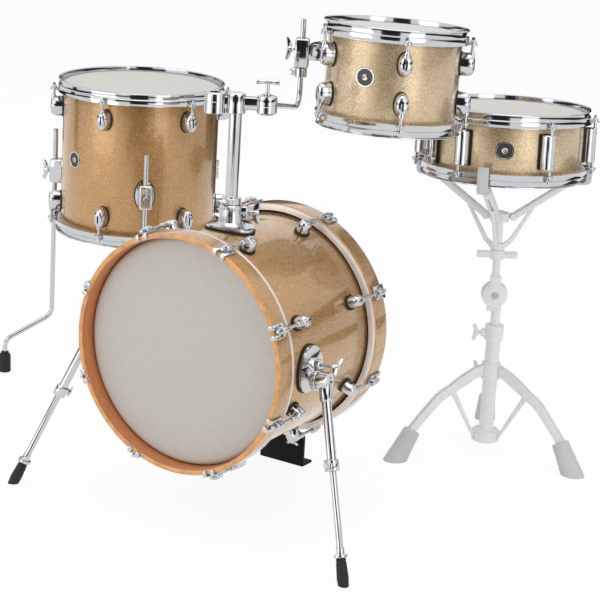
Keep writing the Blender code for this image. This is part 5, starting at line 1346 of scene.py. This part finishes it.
def make_stand_top(context):
    """Upper tube with its tilter, basket rod, T nut, crown of struts and the three arms."""
    sizes, snare = context.scene.snare_stand, context.scene.snare_drum
    local = tuned_frame(snare)
    foot = Vector(sizes.place)
    pivot = local @ Vector((0.0, 0.0, TILTER_LEVEL))
    rod_axis = local.to_3x3() @ UP
    hinge = polar(math.radians(-58.0), 1.0)
    lean = UP.cross(hinge)
    facing = Matrix((hinge, lean, UP)).transposed().to_4x4()
    upper = turned([(0.0, 0.11), (0.0088, 0.11), (0.0095, 0.111), (0.0095, pivot.z - 0.02), (0.0, pivot.z - 0.02)],
                   "stand_steel", 40, at((foot.x, foot.y, 0.0)))
    disc = turned([(0.0, 0.0), (0.02, 0.0), (0.024, 0.002), (0.026, 0.005), (0.026, 0.012), (0.0252, 0.0146),
                   (0.0, 0.0146)], "stand_steel", 56, frame_along(pivot - hinge * 0.015, hinge, UP))
    teeth = tilter_teeth(pivot - hinge * 0.002, hinge)
    neck = block((0.0128, 0.024, 0.034), (0.0, 0.0, 0.0), "stand_steel", 0.0022, 3,
                 at(pivot - hinge * (0.00725 + GAP) - UP * 0.02) @ facing)
    dress("stand_upper_tube_and_tilter", [upper, disc, teeth, neck], "stand_upper_tube")
    hub = turned([(0.0, -0.009), (0.0178, -0.009), (0.019, -0.0078), (0.019, 0.0078), (0.0178, 0.009),
                  (0.0092, 0.0096), (0.0078, 0.012), (0.0, 0.012)], "stand_steel", 48,
                 local @ shift(0.0, 0.0, BASKET_LEVEL))
    rod_low = 0.0285
    run = BASKET_LEVEL - TILTER_LEVEL - rod_low
    rod = turned(plain_wall(0.0, BASKET_ROD_RADIUS, 0.0, run), "stand_steel", 40,
                 local @ shift(0.0, 0.0, TILTER_LEVEL + rod_low))
    threads = turned([(0.007, 0.0), (BASKET_ROD_RADIUS, 0.0004), (BASKET_ROD_RADIUS, 0.0009), (0.007, 0.0013)],
                     "stand_steel", 28)
    turns = copies(threads, [local @ shift(0.0, 0.0, -0.262 + 0.0016 * index) for index in range(14)])
    turning = turned([(0.0, 0.0008), (0.0246, 0.0008), (0.025, 0.002), (0.025, 0.0095), (0.0236, 0.0125),
                      (0.018, 0.014), (0.0, 0.014)], "stand_steel", 56, frame_along(pivot, hinge, UP))
    stem = block((0.012, 0.022, 0.03), (0.0, 0.0, 0.0), "stand_steel", 0.0022, 3,
                 at(pivot + hinge * (0.007 + GAP) + rod_axis * 0.0245) @ facing)
    cap = turned([(0.0, 0.0135), (0.008, 0.0135), (0.0076, 0.014), (0.0, 0.014)], "stand_steel", 24,
                 frame_along(pivot, hinge, UP))
    dress("stand_basket_threaded_rod", [hub, rod, turning, stem, cap] + turns, "snare_and_basket", "stand_basket_rod")
    bore = BASKET_ROD_RADIUS + GAP
    level = -0.238
    core = turned(soft_wall(bore, 0.015, 0.0, 0.018, 0.001, 0.001), "stand_steel", 40)
    grip = [(0.0, -0.04), (0.006, -0.04), (0.0072, -0.0386), (0.0072, -0.02), (0.0062, -0.018), (0.0062, 0.018),
            (0.0072, 0.02), (0.0072, 0.0386), (0.006, 0.04), (0.0, 0.04)]
    handle = turned(grip, "stand_steel", 28, shift(0.0, 0.0, 0.009) @ Z_TO_X)
    carve(handle, bar((0.0, 0.0, -0.02), (0.0, 0.0, 0.04), bore + 0.002, "stand_steel", 32, 0.0))
    nut = placed(joined([core, handle]), local @ shift(0.0, 0.0, level) @ about_z(math.radians(32.0)))
    dress("stand_basket_t_nut", [nut], "stand_basket_nut")
    make_basket_arms(snare, local, level, bore)


def tilter_teeth(centre, axis):
    """Ring of fine radial teeth between the tilter's halves."""
    tooth = block((0.006, 0.0016, 0.0016), (0.0205, 0.0, 0.0), "stand_steel", 0.0003, 1)
    ring = joined(copies(tooth, [about_z(angle) for angle in spaced(0.0, 36)]))
    return placed(ring, frame_along(centre, axis, UP))


def make_basket_arms(snare, local, level, bore):
    """Crown whose struts carry the arms, and the arms with their rubber grips."""
    hub_radius, knuckle_radius, wide = 0.019, 0.0072, 0.018
    seat = -(snare.depth / 2 + 0.011) - GAP
    grip = snare.radius + HOOP_SKIRT + GAP
    reach = hub_radius + GAP + knuckle_radius
    start = Vector((reach, BASKET_LEVEL - knuckle_radius + 0.0005))
    end = Vector((grip - 0.03, seat - 0.016))
    arm_section = [tuple(start), tuple(end), (grip - 0.008, seat - 0.0152), (grip + 0.004, seat - 0.013),
                   (grip + 0.0085, seat - 0.009), (grip + 0.01, seat - 0.004), (grip + 0.01, seat + 0.02),
                   (grip + 0.009, seat + 0.034), (grip + 0.003, seat + 0.038), (grip, seat + 0.03), (grip, seat),
                   (grip - 0.024, seat), (grip - 0.034, seat - 0.006), (reach, BASKET_LEVEL + knuckle_radius - 0.0005)]
    rubber = [(grip - 0.0222, seat - 0.0157), (grip + 0.004, seat - 0.0137), (grip + 0.0092, seat - 0.0094),
              (grip + 0.0108, seat - 0.004), (grip + 0.0108, seat + 0.024), (grip + 0.01, seat + 0.0345),
              (grip + 0.006, seat + 0.0388), (grip + 0.0022, seat + 0.0384), (grip + 0.0001, seat + 0.03),
              (grip + 0.0001, seat - 0.0002), (grip - 0.0222, seat - 0.0002)]
    crown_low = level + 0.018 + GAP
    outer = start.lerp(end, 0.4)
    inner = start.lerp(end, 0.3)
    drop = GAP * 1.5
    strut_section = [(0.0105, crown_low + 0.001), (0.0125, crown_low + 0.001), (0.03, crown_low + 0.018),
                     (outer.x, outer.y - drop), (inner.x, inner.y - drop), (0.024, crown_low + 0.024),
                     (0.0105, crown_low + 0.013)]
    struts = []
    for place, degrees in (("front", -76.0), ("left", -172.0), ("right", 40.0)):
        spin = about_z(math.radians(degrees))
        arm = plate(arm_section, -wide / 2, wide / 2, "stand_steel", 0.0012, 2, UPRIGHT)
        carve(arm, block((0.06, 0.0064, 0.06), (0.084, 0.0, -0.118), "stand_steel", 0.0))
        pad = plate(rubber, -wide / 2 - 0.0012, wide / 2 + 0.0012, "stand_rubber", 0.0014, 3, UPRIGHT)
        knuckle = turned(soft_wall(0.0, knuckle_radius, -0.0095, 0.0095, 0.0008, 0.001), "stand_steel", 28,
                         shift(reach, 0.0, BASKET_LEVEL) @ UPRIGHT)
        arm_piece = placed(joined([arm, pad, knuckle]), local @ spin)
        dress(f"stand_{place}_basket_arm", [arm_piece], f"stand_{place}_arm")
        struts.append(plate(strut_section, -0.0034, 0.0034, "stand_steel", 0.0008, 2, spin @ UPRIGHT))
    core = turned(soft_wall(bore, 0.013, 0.0, 0.014, 0.001, 0.001), "stand_steel", 40, shift(0.0, 0.0, crown_low))
    crown = placed(joined([core] + struts), local)
    dress("stand_basket_strut_crown", [crown], "stand_basket_crown")


# Stage


def soft_lamp(name, place, target_z, size, size_y, power):
    clear_selection()
    way = Vector((0.0, 0.0, target_z)) - Vector(place)
    bpy.ops.object.light_add(type="AREA", location=place, rotation=way.to_track_quat("-Z", "Y").to_euler())
    lamp = bpy.context.object
    lamp.name = name
    lamp.data.shape = "RECTANGLE"
    lamp.data.size = size
    lamp.data.size_y = size_y
    lamp.data.energy = power
    lamp.data.color = (1.0, 0.985, 0.965)


def seen_rays(tree):
    """One for what the camera sees straight, in a reflection or through glass."""
    rays = tree.nodes.new("ShaderNodeLightPath")
    total = rays.outputs["Is Camera Ray"]
    for kind in ("Is Glossy Ray", "Is Transmission Ray"):
        total = combined(tree, "ShaderNodeMath", "MAXIMUM", total, rays.outputs[kind])
    return total


def make_floor():
    clear_selection()
    bpy.ops.mesh.primitive_circle_add(vertices=96, radius=16.0, fill_type="NGON", location=(0.0, 0.0, -0.0004))
    floor = bpy.context.object
    floor.name = "studio_floor"
    bpy.ops.object.transform_apply()
    tree, shader, _ = shader_of("floor_white", (0.94, 0.94, 0.94), 0.0, 0.9, gloss=0.1)
    glow = tree.nodes.new("ShaderNodeEmission")
    glow.inputs["Strength"].default_value = 1.035
    glow_share = 0.87
    mix = tree.nodes.new("ShaderNodeMixShader")
    share = combined(tree, "ShaderNodeMath", "MULTIPLY", seen_rays(tree), glow_share)
    tree.links.new(share, mix.inputs["Fac"])
    tree.links.new(shader.outputs["BSDF"], mix.inputs[1])
    tree.links.new(glow.outputs["Emission"], mix.inputs[2])
    tree.links.new(mix.outputs["Shader"], tree.nodes["Material Output"].inputs["Surface"])
    paint(floor, "floor_white")


def make_world():
    world = bpy.data.worlds.new("studio")
    world.use_nodes = True
    tree = world.node_tree
    ground = tree.nodes["Background"]
    ground.inputs["Color"].default_value = (1.0, 1.0, 1.0, 1.0)
    spread = tree.nodes.new("ShaderNodeMapRange")
    spread.inputs["To Min"].default_value = 0.56
    spread.inputs["To Max"].default_value = 1.0
    tree.links.new(seen_rays(tree), spread.inputs["Value"])
    tree.links.new(spread.outputs["Result"], ground.inputs["Strength"])
    bpy.context.scene.world = world


def only_reflected(item):
    """Dark studio cloth that shows in reflections alone."""
    paint(item, "flag_black")
    item.visible_camera = item.visible_diffuse = item.visible_shadow = item.visible_transmission = False


def dark_flag(name, place, target, width, height):
    """Flat dark flag facing a point."""
    clear_selection()
    way = Vector(target) - Vector(place)
    bpy.ops.mesh.primitive_plane_add(size=1.0, location=place, rotation=way.to_track_quat("-Z", "Y").to_euler())
    flag = bpy.context.object
    flag.name = name
    flag.scale = (width, height, 1.0)
    bpy.ops.object.transform_apply()
    only_reflected(flag)


def dark_horizon(radius, low, high):
    clear_selection()
    bpy.ops.mesh.primitive_cylinder_add(vertices=96, radius=radius, depth=high - low, end_fill_type="NOTHING",
                                        location=(0.0, 0.0, (low + high) / 2))
    band = bpy.context.object
    band.name = "horizon_band"
    bpy.ops.object.transform_apply()
    only_reflected(band)


def make_camera():
    """Camera at the photograph's angle."""
    clear_selection()
    bpy.ops.object.camera_add(location=(1.9683, -3.1665, 1.3857))
    camera = bpy.context.object
    right, up = Vector((0.84089, 0.5383, 0.05606)), Vector((-0.19268, 0.20096, 0.96046))
    back = right.cross(up).normalized()
    camera.rotation_mode = "QUATERNION"
    camera.rotation_quaternion = Matrix((right, back.cross(right), back)).transposed().to_quaternion()
    camera.data.sensor_width = 36.0
    camera.data.lens = 119.66
    camera.data.clip_end = 60.0
    bpy.context.scene.camera = camera


def make_stage(context):
    """Floor, surroundings, soft lamps, dark flags and the camera."""
    make_world()
    make_floor()
    make_camera()
    shader_of("flag_black", (0.014, 0.014, 0.016), 0.0, 1.0)
    soft_lamp("left_soft_box", (-1.45, -3.0, 1.4), 0.7, 2.3, 3.0, 23.5)
    soft_lamp("right_soft_box", (3.1, -1.4, 1.4), 0.7, 1.4, 2.7, 14.0)
    soft_lamp("top_soft_box", (0.2, -0.3, 3.4), 0.45, 3.0, 3.0, 30.0)
    dark_horizon(4.6, 0.75, 1.45)
    for name, place, width, height in (
            ("near_front_flag", (0.95, -2.0, 1.3), 1.2, 2.08), ("front_left_flag", (0.62, -3.0, 0.2), 0.26, 0.4),
            ("front_right_flag", (2.0, -1.95, 0.2), 0.26, 0.4), ("left_flag", (-3.3, -0.9, 0.45), 0.5, 0.9),
            ("back_flag", (-0.75, 1.8, 0.32), 1.1, 0.64), ("back_right_flag", (0.45, 2.6, 0.5), 1.2, 1.0),
            ("back_left_flag", (-3.0, 1.5, 0.45), 0.4, 0.9)):
        dark_flag(name, place, (0.0, 0.0, place[2]), width, height)
    dark_flag("back_right_cloth", (1.9, 2.2, 0.004), (1.9, 2.2, 1.0), 1.7, 1.7)
    context.scene.view_settings.view_transform = "Standard"


# Operators and panel


class KitOperator(bpy.types.Operator):
    """Base of the operators that model one group of pieces."""

    bl_options = {"REGISTER", "UNDO"}
    work = None

    def execute(self, context):
        """Models the pieces."""
        type(self).work(context)
        return {"FINISHED"}


class STAGE_OT_drum_kit(KitOperator):
    """Sets up the floor, the lamps and the camera."""

    bl_idname = "drum_kit.stage"
    bl_label = "Stage"
    work = make_stage


class FINISHES_OT_drum_kit(KitOperator):
    """Makes the finishes of every piece."""

    bl_idname = "drum_kit.finishes"
    bl_label = "Finishes"
    work = make_finishes


class BASS_SHELL_OT_drum_kit(KitOperator):
    """Models the bass drum's shell and lugs."""

    bl_idname = "drum_kit.bass_shell"
    bl_label = "Bass shell and lugs"
    work = make_bass_shell


class BASS_HEADS_OT_drum_kit(KitOperator):
    """Models the bass drum's heads."""

    bl_idname = "drum_kit.bass_heads"
    bl_label = "Bass heads"
    work = make_bass_heads


class BASS_HOOPS_OT_drum_kit(KitOperator):
    """Models the wooden hoops and their claws."""

    bl_idname = "drum_kit.bass_hoops"
    bl_label = "Bass hoops and claws"
    work = make_bass_hoops


class SPURS_OT_drum_kit(KitOperator):
    """Models both spurs."""

    bl_idname = "drum_kit.spurs"
    bl_label = "Spurs"
    work = make_spurs


class LIFT_OT_drum_kit(KitOperator):
    """Models the pedal lift."""

    bl_idname = "drum_kit.pedal_lift"
    bl_label = "Pedal lift"
    work = make_lift


class HOLDER_OT_drum_kit(KitOperator):
    """Models the tom holder and its arm."""

    bl_idname = "drum_kit.tom_holder"
    bl_label = "Tom holder"
    work = make_tom_holder


class BRACKET_OT_drum_kit(KitOperator):
    """Models the rack tom's bracket."""

    bl_idname = "drum_kit.tom_bracket"
    bl_label = "Tom bracket"
    work = make_tom_bracket


class RACK_TOM_OT_drum_kit(KitOperator):
    """Models the rack tom."""

    bl_idname = "drum_kit.rack_tom"
    bl_label = "Rack tom"
    work = make_rack_tom


class FLOOR_TOM_OT_drum_kit(KitOperator):
    """Models the floor tom and its legs."""

    bl_idname = "drum_kit.floor_tom"
    bl_label = "Floor tom"
    work = make_floor_tom


class SNARE_OT_drum_kit(KitOperator):
    """Models the snare drum."""

    bl_idname = "drum_kit.snare_drum"
    bl_label = "Snare drum"
    work = make_snare


class STAND_BASE_OT_drum_kit(KitOperator):
    """Models the lower half of the snare stand."""

    bl_idname = "drum_kit.stand_base"
    bl_label = "Stand base"
    work = make_stand_base


class STAND_TOP_OT_drum_kit(KitOperator):
    """Models the tilter and basket of the snare stand."""

    bl_idname = "drum_kit.stand_top"
    bl_label = "Stand basket"
    work = make_stand_top


OPERATORS = (FINISHES_OT_drum_kit, BASS_SHELL_OT_drum_kit, BASS_HEADS_OT_drum_kit, BASS_HOOPS_OT_drum_kit,
             SPURS_OT_drum_kit, LIFT_OT_drum_kit, HOLDER_OT_drum_kit, BRACKET_OT_drum_kit, RACK_TOM_OT_drum_kit,
             FLOOR_TOM_OT_drum_kit, SNARE_OT_drum_kit, STAND_BASE_OT_drum_kit, STAND_TOP_OT_drum_kit, STAGE_OT_drum_kit)

GROUPS = {
    "bass_drum": BassDrumSizes,
    "rack_tom": RackTomSizes,
    "floor_tom": FloorTomSizes,
    "snare_drum": SnareSizes,
    "drum_fittings": FittingSizes,
    "snare_stand": StandSizes,
    "kit_colours": KitColours,
}


class VIEW3D_PT_drum_kit(bpy.types.Panel):
    bl_label = "Drum kit"
    bl_space_type = "VIEW_3D"
    bl_region_type = "UI"
    bl_category = "Drum kit"

    def draw(self, context):
        """Draws one button for each operator and the sizes below."""
        layout = self.layout
        for operator in OPERATORS:
            layout.operator(operator.bl_idname)
        for name, group in GROUPS.items():
            box = layout.box()
            box.label(text=group.__doc__)
            for key in group.__annotations__:
                box.prop(getattr(context.scene, name), key)


def register():
    """Registers the property groups, the operators and the panel."""
    for group in GROUPS.values():
        bpy.utils.register_class(group)
    for name, group in GROUPS.items():
        setattr(bpy.types.Scene, name, PointerProperty(type=group))
    for operator in OPERATORS:
        bpy.utils.register_class(operator)
    bpy.utils.register_class(VIEW3D_PT_drum_kit)


def unregister():
    """Takes back what register added."""
    bpy.utils.unregister_class(VIEW3D_PT_drum_kit)
    for operator in reversed(OPERATORS):
        bpy.utils.unregister_class(operator)
    for name in GROUPS:
        delattr(bpy.types.Scene, name)
    for group in GROUPS.values():
        bpy.utils.unregister_class(group)


def main():
    """Models the whole kit."""
    register()
    for operator in OPERATORS:
        group, name = operator.bl_idname.split(".")
        getattr(getattr(bpy.ops, group), name)()


if __name__ == "__main__":
    main()
